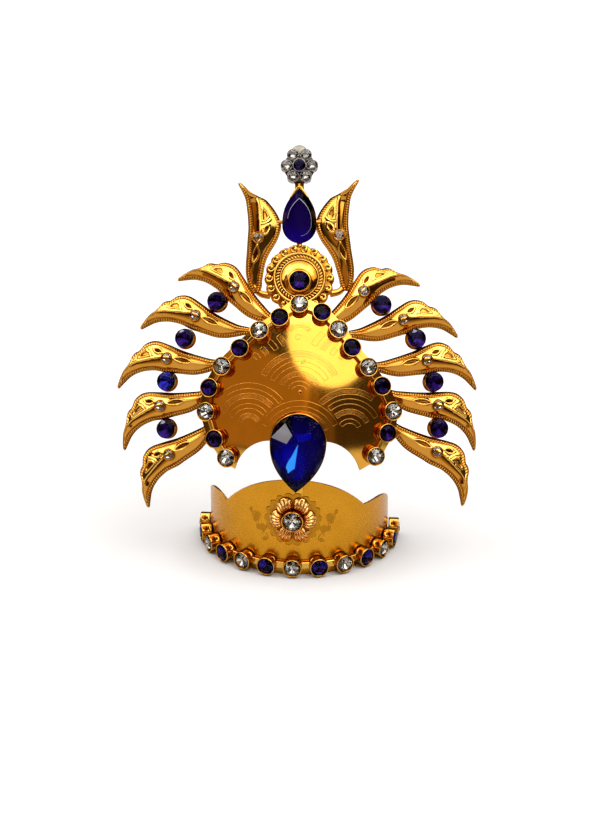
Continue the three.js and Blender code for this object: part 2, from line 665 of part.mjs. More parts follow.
const dropTilt = degToRad(FRONT_DROP.tiltDeg);
const dropNormal = new THREE.Vector3(0, -Math.sin(dropTilt), Math.cos(dropTilt));
const dropFoot = new THREE.Vector3(FRONT_DROP.u, FRONT_DROP.v, domeDepth(FRONT_DROP.u, FRONT_DROP.v));
dropFoot.addScaledVector(dropNormal, SHEET / 2 + SEAT_GAP);
const roll = degToRad(FRONT_DROP.rollDeg);
const dropFrame = frameAt(dropFoot, dropNormal, new THREE.Vector3(Math.cos(roll), Math.sin(roll), 0));
addMesh(lean, "front_drop_setting", frontSettingGeometry(dropFrame), GOLD);
addMesh(lean, "front_drop_stone", frontStoneGeometry(), BLUE, dropFrame);

for (const leaf of LEAVES) {
  addMesh(lean, `feather_${leaf.name}`, leafGeometry(leaf), GOLD, leafFrame(leaf));
}
const spacerStone = stoneGeometry(SPACER_STONE, SPACER_CUP.floor + SEAT_GAP);
for (const spacer of SPACERS) {
  const frame = spacerFrame(spacer);
  addMesh(lean, `spacer_cup_${spacer.name}`, cupGeometry(SPACER_CUP), GOLD, frame);
  addMesh(lean, `spacer_stone_${spacer.name}`, spacerStone, BLUE, frame);
}

// Crest: rosette, smaller drop and finial
const crest = new THREE.Group();
crest.position.set(0, CREST.v, CREST.n);
crest.rotation.x = -degToRad(CREST.tiltDeg);
lean.add(crest);
addMesh(crest, "rosette", rosetteGeometry(), GOLD);
addMesh(crest, "rosette_stone", stoneGeometry(ROSETTE_STONE, ROSETTE_STONE.base), BLUE);
addMesh(crest, "top_drop_setting", topSettingGeometry(), GOLD);
const topPlace = new THREE.Matrix4().makeTranslation(0, TOP_DROP.y, 0);
addMesh(crest, "top_drop_stone", topStoneGeometry(), BLUE, topPlace);
const finialPlace = new THREE.Matrix4().makeTranslation(0, FINIAL.y, NECK.thickness + SEAT_GAP);
addMesh(crest, "finial_flower", finialGeometry(), SILVER, finialPlace);
const finialStone = stoneGeometry(FINIAL_STONE, FINIAL_CENTRE.floor + SEAT_GAP);
addMesh(crest, "finial_centre_stone", finialStone, BLUE, finialPlace);

export default crown;
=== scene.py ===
import math
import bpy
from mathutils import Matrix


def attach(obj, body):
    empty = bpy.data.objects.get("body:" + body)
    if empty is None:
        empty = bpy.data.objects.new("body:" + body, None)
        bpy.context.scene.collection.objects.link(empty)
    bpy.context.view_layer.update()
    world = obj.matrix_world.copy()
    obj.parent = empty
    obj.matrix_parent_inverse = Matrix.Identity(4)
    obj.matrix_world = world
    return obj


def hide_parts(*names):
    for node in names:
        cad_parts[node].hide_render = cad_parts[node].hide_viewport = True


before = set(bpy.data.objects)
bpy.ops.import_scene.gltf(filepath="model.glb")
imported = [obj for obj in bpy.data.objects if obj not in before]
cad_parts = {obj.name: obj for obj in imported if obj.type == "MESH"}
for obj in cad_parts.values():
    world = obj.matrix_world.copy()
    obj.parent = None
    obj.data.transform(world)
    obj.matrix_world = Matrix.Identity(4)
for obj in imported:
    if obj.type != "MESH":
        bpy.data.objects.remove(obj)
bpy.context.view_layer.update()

from types import SimpleNamespace

import bpy
import numpy as np
from mathutils import Vector
from mathutils.geometry import delaunay_2d_cdt

# Sizes are in millimetres. Angles are in degrees, or in radians where radians() is called.
MM = 0.001
TAU = 2 * math.pi

# Leaning frame above the band: u across, v up the lean, n out to the front
LEAN = math.radians(22)
LEAN_RISE = 3.0
SHEET = 0.8
SEAT_GAP = 0.3

# Camera, in the leaning frame, square to it
CAMERA = {"u": 0.2, "v": 39.05, "n": 636.0, "fov": math.radians(25.1)}

# Head band
BAND_RADIUS = 30.2
BAND_TURN = math.radians(-4)
BAND_END = 98.0
HUMP = {"top": 33.6, "power": 2.1}
VALLEY = {"at": 49.0, "top": 21.2}
LOBE_AT = 61.0
LEFT_LOBE = {"top": 22.8, "end": 6.4, "fall": 0.75}
RIGHT_LOBE = {"top": 21.1, "end": 3.4, "fall": 0.5}

# Round cups of the chains and their stones
CUP = {"radius": 3.1, "wall": 0.4, "height": 2.6}
STONE = {"radius": 2.62, "table": 1.5, "girdle": 2.2, "top": 3.05, "depth": 1.15}
BAR = {"high": 1.5, "corner": 0.25, "bite": 0.3, "sides": 16}
BAND_CUPS_A_SIDE = 6
BAND_CUP_STEP = 15.2
BAND_CUP_HEIGHT = 3.6
BAND_CUP = {"radius": 3.1, "wall": 0.4, "height": 3.5}
BAND_STONE = {"radius": 2.62, "table": 1.5, "girdle": 3.05, "top": 3.9, "depth": 1.15}

# Flower on the band
FLOWER = {"height": 19.7, "radius": 7.6, "petals": 6, "dip": 0.3}
FLOWER_CUP = {"radius": 3.6, "wall": 0.5, "height": 3.4, "rise": 0.6}
FLOWER_STONE = {"radius": 2.95, "table": 1.7, "girdle": 3.0, "top": 4.0, "depth": 1.4}

# Shield
DOME = {"v": 39.7, "n": 45.2, "across": 72.0, "low": 70.0, "high": 95.0}
EDGE_MARGIN = 2.7
LEFT_HOLLOW = {"u": -9.5, "v": 18.4, "radius": 11.4, "corner": math.radians(11.5)}
RIGHT_HOLLOW = {"u": 7.5, "v": 17.3, "radius": 12.2, "corner": math.radians(13.7)}
TONGUE = {"top": 3.0, "foot": 1.1, "v": 12.9}
BORDER_CUPS = np.array([
    (23.6, 25.2), (27.3, 32.4), (29.0, 39.2), (25.5, 47.0), (21.3, 52.9), (16.2, 59.0),
    (12.1, 64.7), (7.0, 70.0), (0.0, 72.6), (-6.1, 68.4), (-12.4, 64.3), (-18.4, 58.8),
    (-24.0, 53.2), (-27.9, 46.5), (-29.0, 39.0), (-26.3, 30.6), (-22.6, 24.7),
])

# Large drop on the front
FRONT_PEAR = {"half": 8.6, "round": 9.0, "tip": 16.1, "power": 2.3}
FRONT_DROP = {"u": -0.4, "v": 29.9, "tilt": math.radians(12), "roll": math.radians(-3)}

# Leaves. Edges: share of the length along a leaf, then its low and high edges as shares of the length
LEAF_LENGTH = 36.0
LEAF_EDGE = np.array([
    (0, -0.03, 0.03), (0.1, -0.055, 0.05), (0.2, -0.072, 0.09), (0.285, -0.072, 0.13),
    (0.36, -0.056, 0.172), (0.435, -0.034, 0.222), (0.485, -0.02, 0.254), (0.535, -0.005, 0.284),
    (0.585, 0.018, 0.302), (0.635, 0.04, 0.304), (0.685, 0.052, 0.293), (0.75, 0.061, 0.253),
    (0.785, 0.061, 0.247), (0.82, 0.058, 0.229), (0.86, 0.05, 0.183), (0.89, 0.04, 0.157),
    (0.926, 0.022, 0.133), (0.965, 0.002, 0.092), (1, -0.015, 0.043), (1.012, -0.016, 0.02),
])
UPRIGHT_EDGE = np.array([
    (0, 0.0, 0.045), (0.04, -0.025, 0.074), (0.11, -0.04, 0.095), (0.2, -0.04, 0.126),
    (0.29, -0.024, 0.164), (0.36, -0.007, 0.213), (0.43, 0.008, 0.271), (0.5, 0.023, 0.314),
    (0.587, 0.041, 0.342), (0.657, 0.048, 0.331), (0.729, 0.051, 0.302), (0.795, 0.05, 0.263),
    (0.845, 0.048, 0.223), (0.88, 0.042, 0.17), (0.93, 0.026, 0.102), (0.97, 0.01, 0.066),
    (1, -0.004, 0.04), (1.025, -0.01, 0.018),
])
LEAF_RIDGE = {"root": 0.5, "body": 1.5, "tip": 0.4, "power": 1.5}
LEAF_STONE = {"along": 0.49, "up": 0.12}
# Columns: name, side, u, v, n, angle, tilt, curl
LEAVES = [
    ("left_upright", -1, 13.4, 95.3, 32.7, 82, 5, -0.06),
    ("left_1", -1, 20.8, 79.2, 34.9, 24, 12, 0.05),
    ("left_2", -1, 33.3, 70.1, 34.9, 2, 12, 0),
    ("left_3", -1, 42.6, 56.4, 33.9, -12, 12, 0.14),
    ("left_4", -1, 44.9, 41.2, 33.2, -32, 12, 0.13),
    ("left_5", -1, 42.1, 25.4, 33.5, -51, 12, 0.08),
    ("right_upright", 1, 12.9, 96.1, 32.5, 85, 5, 0.04),
    ("right_1", 1, 20.4, 77.8, 35, 23, 12, 0.06),
    ("right_2", 1, 33.3, 68.8, 35, -0.5, 12, 0.07),
    ("right_3", 1, 40.9, 55.9, 34.8, -11.5, 12, 0.16),
    ("right_4", 1, 44.7, 41.3, 34.2, -32, 10, 0.15),
    ("right_5", 1, 44.6, 26.1, 35.7, -48, 2, 0.1),
]
# Spacers. Columns: name, side, u, v, n, direction that the cup leans to
SPACERS = [
    ("left_1", -1, 26.5, 74.4, 35.2, 55), ("left_2", -1, 36.9, 62.6, 34.3, 32),
    ("left_3", -1, 42.8, 48.8, 33.2, 8), ("left_4", -1, 43.0, 33.5, 32.6, -18),
    ("right_1", 1, 26.5, 73.3, 35.2, 55), ("right_2", 1, 37.6, 62.5, 34.6, 32),
    ("right_3", 1, 43.3, 48.7, 33.9, 8), ("right_4", 1, 44.8, 33.7, 34.3, -18),
]
SPACER_TILT = math.radians(12)
SPACER_CUP = {"radius": 3.0, "wall": 0.5, "height": 2.3}
SPACER_STONE = {"radius": 3.12, "table": 1.9, "girdle": 2.6, "top": 3.3, "depth": 1.4}

# Crest
CREST = {"v": 81.4, "n": 34.7, "tilt": math.radians(8)}
TOP_PEAR = {"half": 5.6, "round": 5.8, "tip": 12.4, "power": 2.6}
TOP_DROP_Y = 18.0
FINIAL = {"y": 37.7, "z": 1.6, "ring": 4.15, "petals": 6}


# Forms: points and faces of one piece

class Form:
    """Points and faces of one piece, with a finish for each face and a tint for each point."""

    def __init__(self):
        self.points, self.tints = [], []
        self.faces, self.finishes, self.rounded = [], [], []
        self.count = 0

    def add(self, points, faces, finish=0, rounded=True, tint=0.0):
        """Adds points and faces. A face with more than four corners stays flat."""
        points = np.asarray(points, float).reshape(-1, 3)
        self.points.append(points)
        self.tints.append(np.zeros(len(points)) + np.asarray(tint, float).ravel())
        self.faces += [[i + self.count for i in face] for face in faces]
        self.finishes += [finish] * len(faces)
        self.rounded += [rounded and len(face) <= 4 for face in faces]
        self.count += len(points)

    def put(self, place, shape, **look):
        """Adds a shape, its points and its faces, at a place."""
        self.add(place(shape[0]), shape[1], **look)

    def make(self, name, materials, slot, nodes=()):
        mesh = bpy.data.meshes.new(name)
        points = np.concatenate(self.points) * MM
        mesh.from_pydata(points.tolist(), [], self.faces)
        for material in materials:
            mesh.materials.append(material)
        mesh.polygons.foreach_set("material_index", self.finishes)
        mesh.polygons.foreach_set("use_smooth", self.rounded)
        tint = mesh.attributes.new("tint", "FLOAT", "POINT")
        tint.data.foreach_set("value", np.concatenate(self.tints))
        mesh.update()
        piece = bpy.data.objects.new(name, mesh)
        bpy.context.scene.collection.objects.link(piece)
        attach(piece, "root")
        if nodes:
            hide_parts(*nodes)


def net(rows, columns, around=False):
    """Faces of a net of points laid out row by row. Around joins the last column to the first."""
    row = np.arange(rows - 1)[:, None]
    column = np.arange(columns if around else columns - 1)[None, :]
    after = (column + 1) % columns
    corners = [row * columns + column, row * columns + after,
               (row + 1) * columns + after, (row + 1) * columns + column]
    return np.stack(corners, -1).reshape(-1, 4).tolist()


def capped(rows, columns):
    """Faces of a net of rings, with a face over the first ring and one over the last."""
    first = list(range(columns))
    return net(rows, columns, around=True) + [first[::-1], [(rows - 1) * columns + i for i in first]]


def flipped(faces):
    return [face[::-1] for face in faces]


def round_angles(count):
    return np.linspace(0, TAU, count, endpoint=False)


def polar(radius, angles, *height):
    """Points about the origin, flat ones if no height is given."""
    flat = [radius * np.cos(angles), radius * np.sin(angles)]
    return np.stack(flat + [z + 0 * angles for z in height], -1)


def level(spots, z):
    """Flat points at one height."""
    return np.column_stack([spots, np.full(len(spots), z)])


def turned(radii, heights, columns):
    """Closed rings about +Z. Radii holds one value a ring, or one a ring and column."""
    radii = np.asarray(radii, float).reshape(len(heights), -1) + np.zeros(columns)
    return polar(radii, round_angles(columns), np.asarray(heights)[:, None]), capped(len(heights), columns)


def add_turned(form, place, profile, columns):
    """Turned shape from rows of radius, height and tint."""
    radii, heights, tints = np.array(profile).T
    form.put(place, turned(radii, heights, columns), tint=np.repeat(tints, columns))


def unit(vectors):
    return vectors / np.linalg.norm(vectors, axis=-1, keepdims=True)


def tube(path, radius, sides=8, closed=False, up=(0, 0, 1), flat=1.0):
    """Rounded wire along a path. Flat below 1 lowers it towards the surface that it lies on."""
    radius = np.asarray(radius, float).reshape(-1, 1, 1)
    ahead = unit(np.roll(path, -1, 0) - np.roll(path, 1, 0) if closed else np.gradient(path, axis=0))
    side = unit(np.cross(ahead, np.asarray(up, float)))
    lift = np.cross(side, ahead)
    angles = round_angles(sides)[None, :, None]
    ring = np.cos(angles) * side[:, None] + flat * np.sin(angles) * lift[:, None]
    points = path[:, None] + radius * ring
    if not closed:
        return points, capped(len(path), sides)
    corners = np.array(net(len(path) + 1, sides, around=True))
    return points, (corners % (len(path) * sides)).tolist()


def bead(spot, across, high, columns=10, rows=5, close=0.46):
    """Domed grain with its foot at spot, closed by a small flat top."""
    turns = np.linspace(0, close * math.pi, rows)
    points, faces = turned(across * np.cos(turns), high * np.sin(turns), columns)
    return points + np.asarray(spot), faces


def rounded_section(half, high, corner, sides):
    """Section of a bar with rounded corners that stands on its base: across it and up."""
    angles = round_angles(sides) + TAU / sides / 2
    across = np.sign(np.cos(angles)) * (half - corner) + corner * np.cos(angles)
    up = np.sign(np.sin(angles)) * (high / 2 - corner) + corner * np.sin(angles) + high / 2
    return across, up


def smooth_step(low, high, value):
    share = np.clip((value - low) / (high - low), 0, 1)
    return share * share * (3 - 2 * share)


def through(table_x, table_y, x):
    """Smooth curve through a table of points."""
    slopes = np.gradient(table_y, table_x)
    i = np.clip(np.searchsorted(table_x, x, side="right") - 1, 0, len(table_x) - 2)
    span = table_x[i + 1] - table_x[i]
    s = (x - table_x[i]) / span
    rise = table_y[i] * (1 + 2 * s) * (1 - s) ** 2 + table_y[i + 1] * s * s * (3 - 2 * s)
    return rise + span * (slopes[i] * s * (1 - s) ** 2 + slopes[i + 1] * s * s * (s - 1))


def spiral(centre, start, turns, from_radius, to_radius, steps=28):
    t = np.linspace(0, 1, steps)
    angle = math.radians(start) + TAU * turns * t
    return np.asarray(centre) + polar(from_radius + (to_radius - from_radius) * t, angle)


def bow(start, end, bulge, steps=16):
    """Bowed line between two points."""
    start, end = np.asarray(start, float), np.asarray(end, float)
    t = np.linspace(0, 1, steps)[:, None]
    across = np.array([-(end - start)[1], (end - start)[0]])
    return start + (end - start) * t + across * bulge * 4 * t * (1 - t)


def lens(start, end, wide, steps=18):
    """Closed pointed oval between two points."""
    return np.concatenate([bow(start, end, wide, steps), bow(end, start, wide, steps)[1:-1]])


# Places: from a piece's own axes to the crown

def lean_to_world(spots):
    spots = np.asarray(spots, float)
    u, v, n = spots[..., 0], spots[..., 1] + LEAN_RISE, spots[..., 2]
    back = math.sin(LEAN) * v - math.cos(LEAN) * n
    up = math.cos(LEAN) * v + math.sin(LEAN) * n
    return np.stack([u, back, up], -1)


def band_to_world(spots):
    spots = np.asarray(spots, float)
    x, y, z = spots[..., 0], spots[..., 1], spots[..., 2]
    c, s = math.cos(BAND_TURN), math.sin(BAND_TURN)
    return np.stack([c * x - s * y, s * x + c * y, z], -1)


def placed(origin, normal, along, to_world):
    """Place whose +Z is the normal and whose +X runs along."""
    z = unit(np.asarray(normal, float))
    y = unit(np.cross(z, np.asarray(along, float)))
    axes = np.stack([np.cross(y, z), y, z])
    origin = np.asarray(origin, float)

    def place(points):
        return to_world(np.asarray(points, float) @ axes + origin)

    place.origin = origin
    place.normal = z
    return place


def dome_depth(u, v):
    bend = np.where(v < DOME["v"], DOME["low"], DOME["high"])
    across = DOME["across"] - np.sqrt(DOME["across"] ** 2 - u ** 2)
    return DOME["n"] - across - (bend - np.sqrt(bend ** 2 - (v - DOME["v"]) ** 2))


def dome_normal(u, v):
    bend = np.where(v < DOME["v"], DOME["low"], DOME["high"])
    slope_u = u / np.sqrt(DOME["across"] ** 2 - u ** 2)
    slope_v = (v - DOME["v"]) / np.sqrt(bend ** 2 - (v - DOME["v"]) ** 2)
    return unit(np.stack([slope_u, slope_v, np.ones_like(slope_u * slope_v)], -1))


def on_dome(spots, lift):
    """Points at a height over the front of the shield."""
    u, v = spots[..., 0], spots[..., 1]
    foot = np.stack([u, v, dome_depth(u, v)], -1)
    return lean_to_world(foot + dome_normal(u, v) * (SHEET / 2 + lift))


def dome_place(u, v, normal, along):
    """Place of a piece that is soldered to the front of the shield."""
    foot = np.array([u, v, dome_depth(u, v)]) + normal * (SHEET / 2 + SEAT_GAP)
    return placed(foot, normal, along, lean_to_world)


def band_spot(radius, angle, z):
    return np.stack([radius * np.sin(angle), -radius * np.cos(angle), z + 0 * angle], -1)


def band_top(degrees):
    turn = np.abs(degrees)
    hump = HUMP["top"] - (HUMP["top"] - VALLEY["top"]) * (turn / VALLEY["at"]) ** HUMP["power"]
    top, end, power = (np.where(degrees < 0, LEFT_LOBE[key], RIGHT_LOBE[key])
                       for key in ("top", "end", "fall"))
    rise = top - (top - VALLEY["top"]) * ((LOBE_AT - turn) / (LOBE_AT - VALLEY["at"])) ** 2
    past = (turn - LOBE_AT) / (BAND_END - LOBE_AT)
    fall = end + (top - end) * np.clip(1 - past ** 2, 0, 1) ** power
    return np.where(turn <= VALLEY["at"], hump, np.where(turn <= LOBE_AT, rise, fall))


def on_band(spots, height, lift):
    """Flat points laid on the front of the band, at a height of it and lifted off the plate."""
    radius = BAND_RADIUS + np.asarray(lift, float)
    return band_to_world(band_spot(radius, spots[..., 0] / BAND_RADIUS, height + spots[..., 1]))


def band_place(degrees, z):
    angle = np.radians(degrees)
    normal = band_spot(1.0, angle, 0.0)
    along = (math.cos(angle), math.sin(angle), 0)
    return placed(band_spot(BAND_RADIUS + SEAT_GAP, angle, z), normal, along, band_to_world)


def crest_place(y=0.0, z=0.0):
    c, s = math.cos(CREST["tilt"]), math.sin(CREST["tilt"])
    origin = np.array([0, CREST["v"], CREST["n"]]) + y * np.array([0, c, -s]) + z * np.array([0, s, c])
    return placed(origin, (0, s, c), (1, 0, 0), lean_to_world)


def pear_spot(pear, angles, grow=0.0):
    """Outline of a pear, round end up and tip down."""
    rise, side = np.sin(angles), np.cos(angles)
    drop = np.arcsin(np.clip(-rise, 0, 1)) / (math.pi / 2)
    x = np.where(rise < 0, np.sign(side) * pear["half"] * (1 - drop ** pear["power"]), pear["half"] * side)
    y = np.where(rise < 0, -pear["tip"] * drop, pear["round"] * rise)
    spots = np.stack([x, y], -1)
    length = np.linalg.norm(spots, axis=-1, keepdims=True)
    return spots * (length + grow) / length


# Finishes

# Noise scales per metre, and the depth of the metal's grain in metres
CLOUD = {"metal": 160.0, "glass": 300.0, "foil": 700.0, "facet": 120.0, "floor": 30.0}
GRAIN = {"detail": 5.0, "depth": 0.00003}


class Finish:
    """Material of one shader whose values vary with noise in the piece's own coordinates."""

    def __init__(self, name, **even):
        self.material = bpy.data.materials.new(name)
        self.material.use_nodes = True
        self.nodes = self.material.node_tree.nodes
        self.links = self.material.node_tree.links
        self.shader = self.nodes["Principled BSDF"]
        self.spot = self.nodes.new("ShaderNodeTexCoord").outputs["Object"]
        # Even values are given by the names of their sockets, with _ for a space
        for socket, value in even.items():
            self.shader.inputs[socket.replace("_", " ")].default_value = value

    def vary(self, socket, source):
        self.links.new(source, self.shader.inputs[socket])

    def node(self, kind, values, sources):
        """New node with some of its sockets set and others fed."""
        node = self.nodes.new("ShaderNode" + kind)
        for socket, value in values.items():
            node.inputs[socket].default_value = value
        for socket, source in sources.items():
            self.links.new(source, node.inputs[socket])
        return node

    def noise(self, scale, detail=3.0):
        return self.node("TexNoise", {"Scale": scale, "Detail": detail}, {"Vector": self.spot}).outputs["Fac"]

    def ramp(self, source, low, high, start=0.3, end=0.7):
        node = self.node("ValToRGB", {}, {"Fac": source})
        for element, position, colour in zip(node.color_ramp.elements, (start, end), (low, high)):
            element.position = position
            element.color = (*colour, 1)
        return node.outputs["Color"]

    def spread(self, source, low, high):
        """A value from 0 to 1, stretched from low to high."""
        return self.node("MapRange", {"To Min": low, "To Max": high}, {"Value": source}).outputs["Result"]

    def share(self, source, low, high):
        """How far a value has come from low to high."""
        return self.node("MapRange", {"From Min": low, "From Max": high}, {"Value": source}).outputs["Result"]

    def blend(self, share, colour, other):
        mix = self.nodes.new("ShaderNodeMix")
        mix.data_type = "RGBA"
        mix.inputs["B"].default_value = (*other, 1)
        self.links.new(share, mix.inputs["Factor"])
        self.links.new(colour, mix.inputs["A"])
        return mix.outputs["Result"]

    def tinted(self, colour, deep, dark):
        """Colour that turns deep and then dark where the tint of the points says so."""
        tint = self.nodes.new("ShaderNodeAttribute")
        tint.attribute_name = "tint"
        first = self.share(tint.outputs["Fac"], 0.0, 0.5)
        second = self.share(tint.outputs["Fac"], 0.5, 1.0)
        return self.blend(second, self.blend(first, colour, deep), dark)

    def bump(self, source, strength, depth):
        node = self.node("Bump", {"Strength": strength, "Distance": depth}, {"Height": source})
        self.vary("Normal", node.outputs["Normal"])


def halfway(one, two):
    return tuple((a + b) / 2 for a, b in zip(one, two))


def metal(name, low, high, dark, rough, grain, bump, deep=None, slant=(1, 1, 1)):
    """Plated metal: cloudy colour, darker where the tint says so, uneven gloss and fine grain."""
    finish = Finish(name, Metallic=1.0, Specular_Tint=(*slant, 1))
    colour = finish.ramp(finish.noise(CLOUD["metal"]), low, high)
    fine = finish.noise(grain, GRAIN["detail"])
    finish.vary("Base Color", finish.tinted(colour, deep or halfway(low, dark), dark))
    finish.vary("Roughness", finish.spread(fine, *rough))
    finish.bump(fine, bump, GRAIN["depth"])
    return finish.material


def glass(name, low, high, index, shine=1.0):
    """Cut glass, clear or tinted, with a faint cloud in it. Shine below 1 dims what its front mirrors."""
    finish = Finish(name, Transmission_Weight=1.0, IOR=index, Specular_Tint=(shine, shine, shine, 1))
    cloud = finish.noise(CLOUD["glass"])
    finish.vary("Base Color", finish.ramp(cloud, low, high))
    finish.vary("Roughness", finish.spread(cloud, 0.01, 0.02))
    return finish.material


def foil(name, low, high, dark, deep=None):
    """Mirror coat on the back of a stone, darker where the tint says so."""
    finish = Finish(name, Metallic=1.0)
    cloud = finish.noise(CLOUD["foil"])
    colour = finish.ramp(cloud, low, high)
    finish.vary("Base Color", finish.tinted(colour, deep or halfway(low, dark), dark))
    finish.vary("Roughness", finish.spread(cloud, 0.02, 0.1))
    return finish.material


def painted_glint_facet():
    """Facet of a blue stone painted pale grey: a painted glint of light."""
    finish = Finish("painted_glint_facet")
    cloud = finish.noise(CLOUD["facet"])
    finish.vary("Base Color", finish.ramp(cloud, (0.1, 0.095, 0.12), (0.2, 0.19, 0.22)))
    finish.vary("Roughness", finish.spread(cloud, 0.25, 0.4))
    return finish.material


def floor_finish():
    """Pale floor, lighter to the back, where less light falls."""
    finish = Finish("pale_floor", Specular_IOR_Level=0.1)
    along = finish.node("SeparateXYZ", {}, {"Vector": finish.spot}).outputs["Y"]
    back = finish.share(along, -0.2, 1.2)
    finish.vary("Base Color", finish.ramp(back, (0.48, 0.48, 0.48), (0.8, 0.8, 0.8), 0.0, 1.0))
    finish.vary("Roughness", finish.spread(finish.noise(CLOUD["floor"]), 0.75, 0.85))
    return finish.material


BRIGHT_GOLD = metal("bright_gold", (0.58, 0.33, 0.06), (0.66, 0.385, 0.082), (0.03, 0.008, 0.0015),
                    (0.06, 0.13), 2600.0, 0.15, (0.45, 0.165, 0.012), (0.6, 0.35, 0.15))
SHIELD_GOLD = metal("shield_gold", (0.62, 0.3, 0.036), (0.68, 0.335, 0.046), (0.06, 0.016, 0.002),
                    (0.07, 0.13), 1500.0, 0.1)
LINE_GOLD = metal("line_gold", (0.66, 0.3, 0.05), (0.74, 0.36, 0.07), (0.09, 0.012, 0.006),
                  (0.18, 0.28), 2600.0, 0.1)
SATIN_GOLD = metal("satin_gold", (0.51, 0.222, 0.012), (0.56, 0.247, 0.016), (0.2, 0.075, 0.006),
                   (0.25, 0.3), 2200.0, 0.012)
PETAL_GOLD = metal("petal_gold", (0.8, 0.47, 0.16), (0.88, 0.53, 0.2), (0.16, 0.05, 0.01),
                   (0.18, 0.26), 2400.0, 0.1, (0.6, 0.28, 0.055))
SILVER = metal("silver", (0.22, 0.195, 0.17), (0.32, 0.29, 0.255), (0.02, 0.017, 0.014),
               (0.12, 0.25), 2200.0, 0.15)
BEIGE = metal("beige_back", (0.17, 0.15, 0.12), (0.21, 0.19, 0.15), (0.06, 0.045, 0.03),
              (0.3, 0.45), 2000.0, 0.2)
CLEAR_GLASS = glass("clear_glass", (0.95, 0.95, 0.93), (1.0, 1.0, 0.98), 1.6)
BLUE_GLASS = glass("blue_glass", (0.012, 0.003, 0.045), (0.018, 0.005, 0.08), 1.16, 0.6)
NAVY_GLASS = glass("navy_glass", (0.007, 0.002, 0.026), (0.011, 0.003, 0.046), 1.16, 0.6)
BAND_GLASS = glass("band_glass", (0.028, 0.013, 0.16), (0.036, 0.017, 0.24), 1.16, 0.6)
ROYAL_GLASS = glass("royal_glass", (0.012, 0.014, 0.24), (0.02, 0.022, 0.36), 1.16)
DROP_GLASS = glass("drop_glass", (0.03, 0.28, 0.9), (0.035, 0.32, 0.98), 1.14, 0.5)
CABOCHON_GLASS = glass("cabochon_glass", (0.006, 0.002, 0.14), (0.008, 0.003, 0.18), 1.12, 0.2)
SILVER_FOIL = foil("silver_foil", (0.66, 0.65, 0.6), (0.86, 0.85, 0.8), (0.14, 0.13, 0.12))
SMOKY_FOIL = foil("smoky_foil", (0.42, 0.38, 0.34), (0.7, 0.65, 0.58), (0.04, 0.035, 0.03))
BLUE_FOIL = foil("blue_foil", (0.6, 0.6, 0.85), (0.7, 0.7, 0.95), (0.2, 0.15, 0.12))
DROP_BED = foil("drop_bed", (0.05, 0.006, 0.3), (0.06, 0.008, 0.36), (0.04, 0.002, 0.014),
                (0.05, 0.002, 0.075))
AZURE_FOIL = foil("azure_foil", (0.9, 0.9, 0.93), (1.0, 1.0, 1.0), (0.3, 0.3, 0.3))
NIGHT_FOIL = foil("night_foil", (0.3, 0.15, 0.24), (0.36, 0.18, 0.28), (0.25, 0.1, 0.1))
PAINTED_GLINT_FACET = painted_glint_facet()

# Finishes of a stone: its front, its back and a facet painted pale as a glint
CLEAR = [CLEAR_GLASS, SILVER_FOIL]
BLUE, NAVY, BAND_BLUE, ROYAL = ([front, BLUE_FOIL, PAINTED_GLINT_FACET]
                                for front in (BLUE_GLASS, NAVY_GLASS, BAND_GLASS, ROYAL_GLASS))
BACK_FINISH = 1
# Finish of the facet that is painted pale as a glint
PAINTED_GLINT_FINISH = 2


# Cups, bars and stones

# Windows in the wall of a cup: how many, low and high edges as shares of the height, half width as a share of
# a quarter, how deep they sink, and a tint that paints them dark as painted shade
WINDOW = {"count": 4, "low": 0.26, "high": 0.6, "half": 0.15, "deep": 0.3, "tint": 0.95}
WALL_ROWS = 8  # rows of the profile that make the outside of the wall
WINDOW_ROWS = slice(4, 6)


def add_cup(form, place, cup, columns=48, shade=0.5, flare=0.0):
    """Round cup with a rolled rim and square windows, with painted shade at its foot, inside it and in the
    windows. Shade is painted shade that darkens its wall, flare widens its foot.
    """
    r, wall, h = cup["radius"], cup["wall"], cup["height"]
    low, high = WINDOW["low"] * h, WINDOW["high"] * h
    # Rows: radius, height, tint. The tints are painted shade, darkest at the foot and inside; the rim stays
    # bright
    profile = [
        (r - 0.5, 0, 0.8), (r - 0.1, 0.02, 0.8), (r, 0.15, shade), (r, low, shade),
        (r, low + 0.05, shade), (r, high - 0.05, shade), (r, high, shade),
        (r, h - 0.4, shade), (r + 0.02, h - 0.16, 0.2), (r - 0.05, h - 0.02, 0), (r - 0.14, h + 0.02, 0),
        (r - 0.24, h - 0.03, 0.55), (r - wall, h - 0.16, 0.85), (r - wall, 0.3, 0.95),
    ]
    radii, heights, tints = np.array(profile).T
    radii[:WALL_ROWS] += flare * (1 - heights[:WALL_ROWS] / h)
    radii, tints = radii[:, None] + np.zeros(columns), tints[:, None] + np.zeros(columns)
    quarter = np.linspace(0, WINDOW["count"], columns, endpoint=False) % 1
    in_window = np.abs(quarter - 0.5) < WINDOW["half"]
    tints[WINDOW_ROWS, in_window] = WINDOW["tint"]
    radii[WINDOW_ROWS, in_window] -= WINDOW["deep"]
    form.put(place, turned(radii, heights, columns), tint=tints)


def add_bar(form, one, two, width, to_world, reach):
    """Short rounded bar between two neighbouring cups."""
    along = two.origin - one.origin
    place = placed((one.origin + two.origin) / 2, one.normal + two.normal, along, to_world)
    half = np.linalg.norm(along) / 2 - reach
    y, z = rounded_section(width / 2, BAR["high"], BAR["corner"], BAR["sides"])
    points = np.stack([np.stack([x + 0 * y, y, z], -1) for x in (-half, half)])
    form.put(place, (points, net(2, BAR["sides"], around=True)), rounded=False)


def add_chain(form, places, cup, bar_width, to_world, shade):
    for place in places:
        add_cup(form, place, cup, shade=shade)
    for one, two in zip(places, places[1:]):
        add_bar(form, one, two, bar_width, to_world, cup["radius"] - BAR["bite"])


# Brilliant cut, for the most part as shares: girdle height, where the crown's corners lie and how high, and
# where the corners of the back lie and how deep
CUT = {"mains": 8, "girdle": 0.12, "crown": 0.8, "ease": 0.92, "rise": 0.6, "reach": 0.32, "sink": 0.7}
RANDOM = np.random.default_rng(5)
FOIL_TINT = 0.9


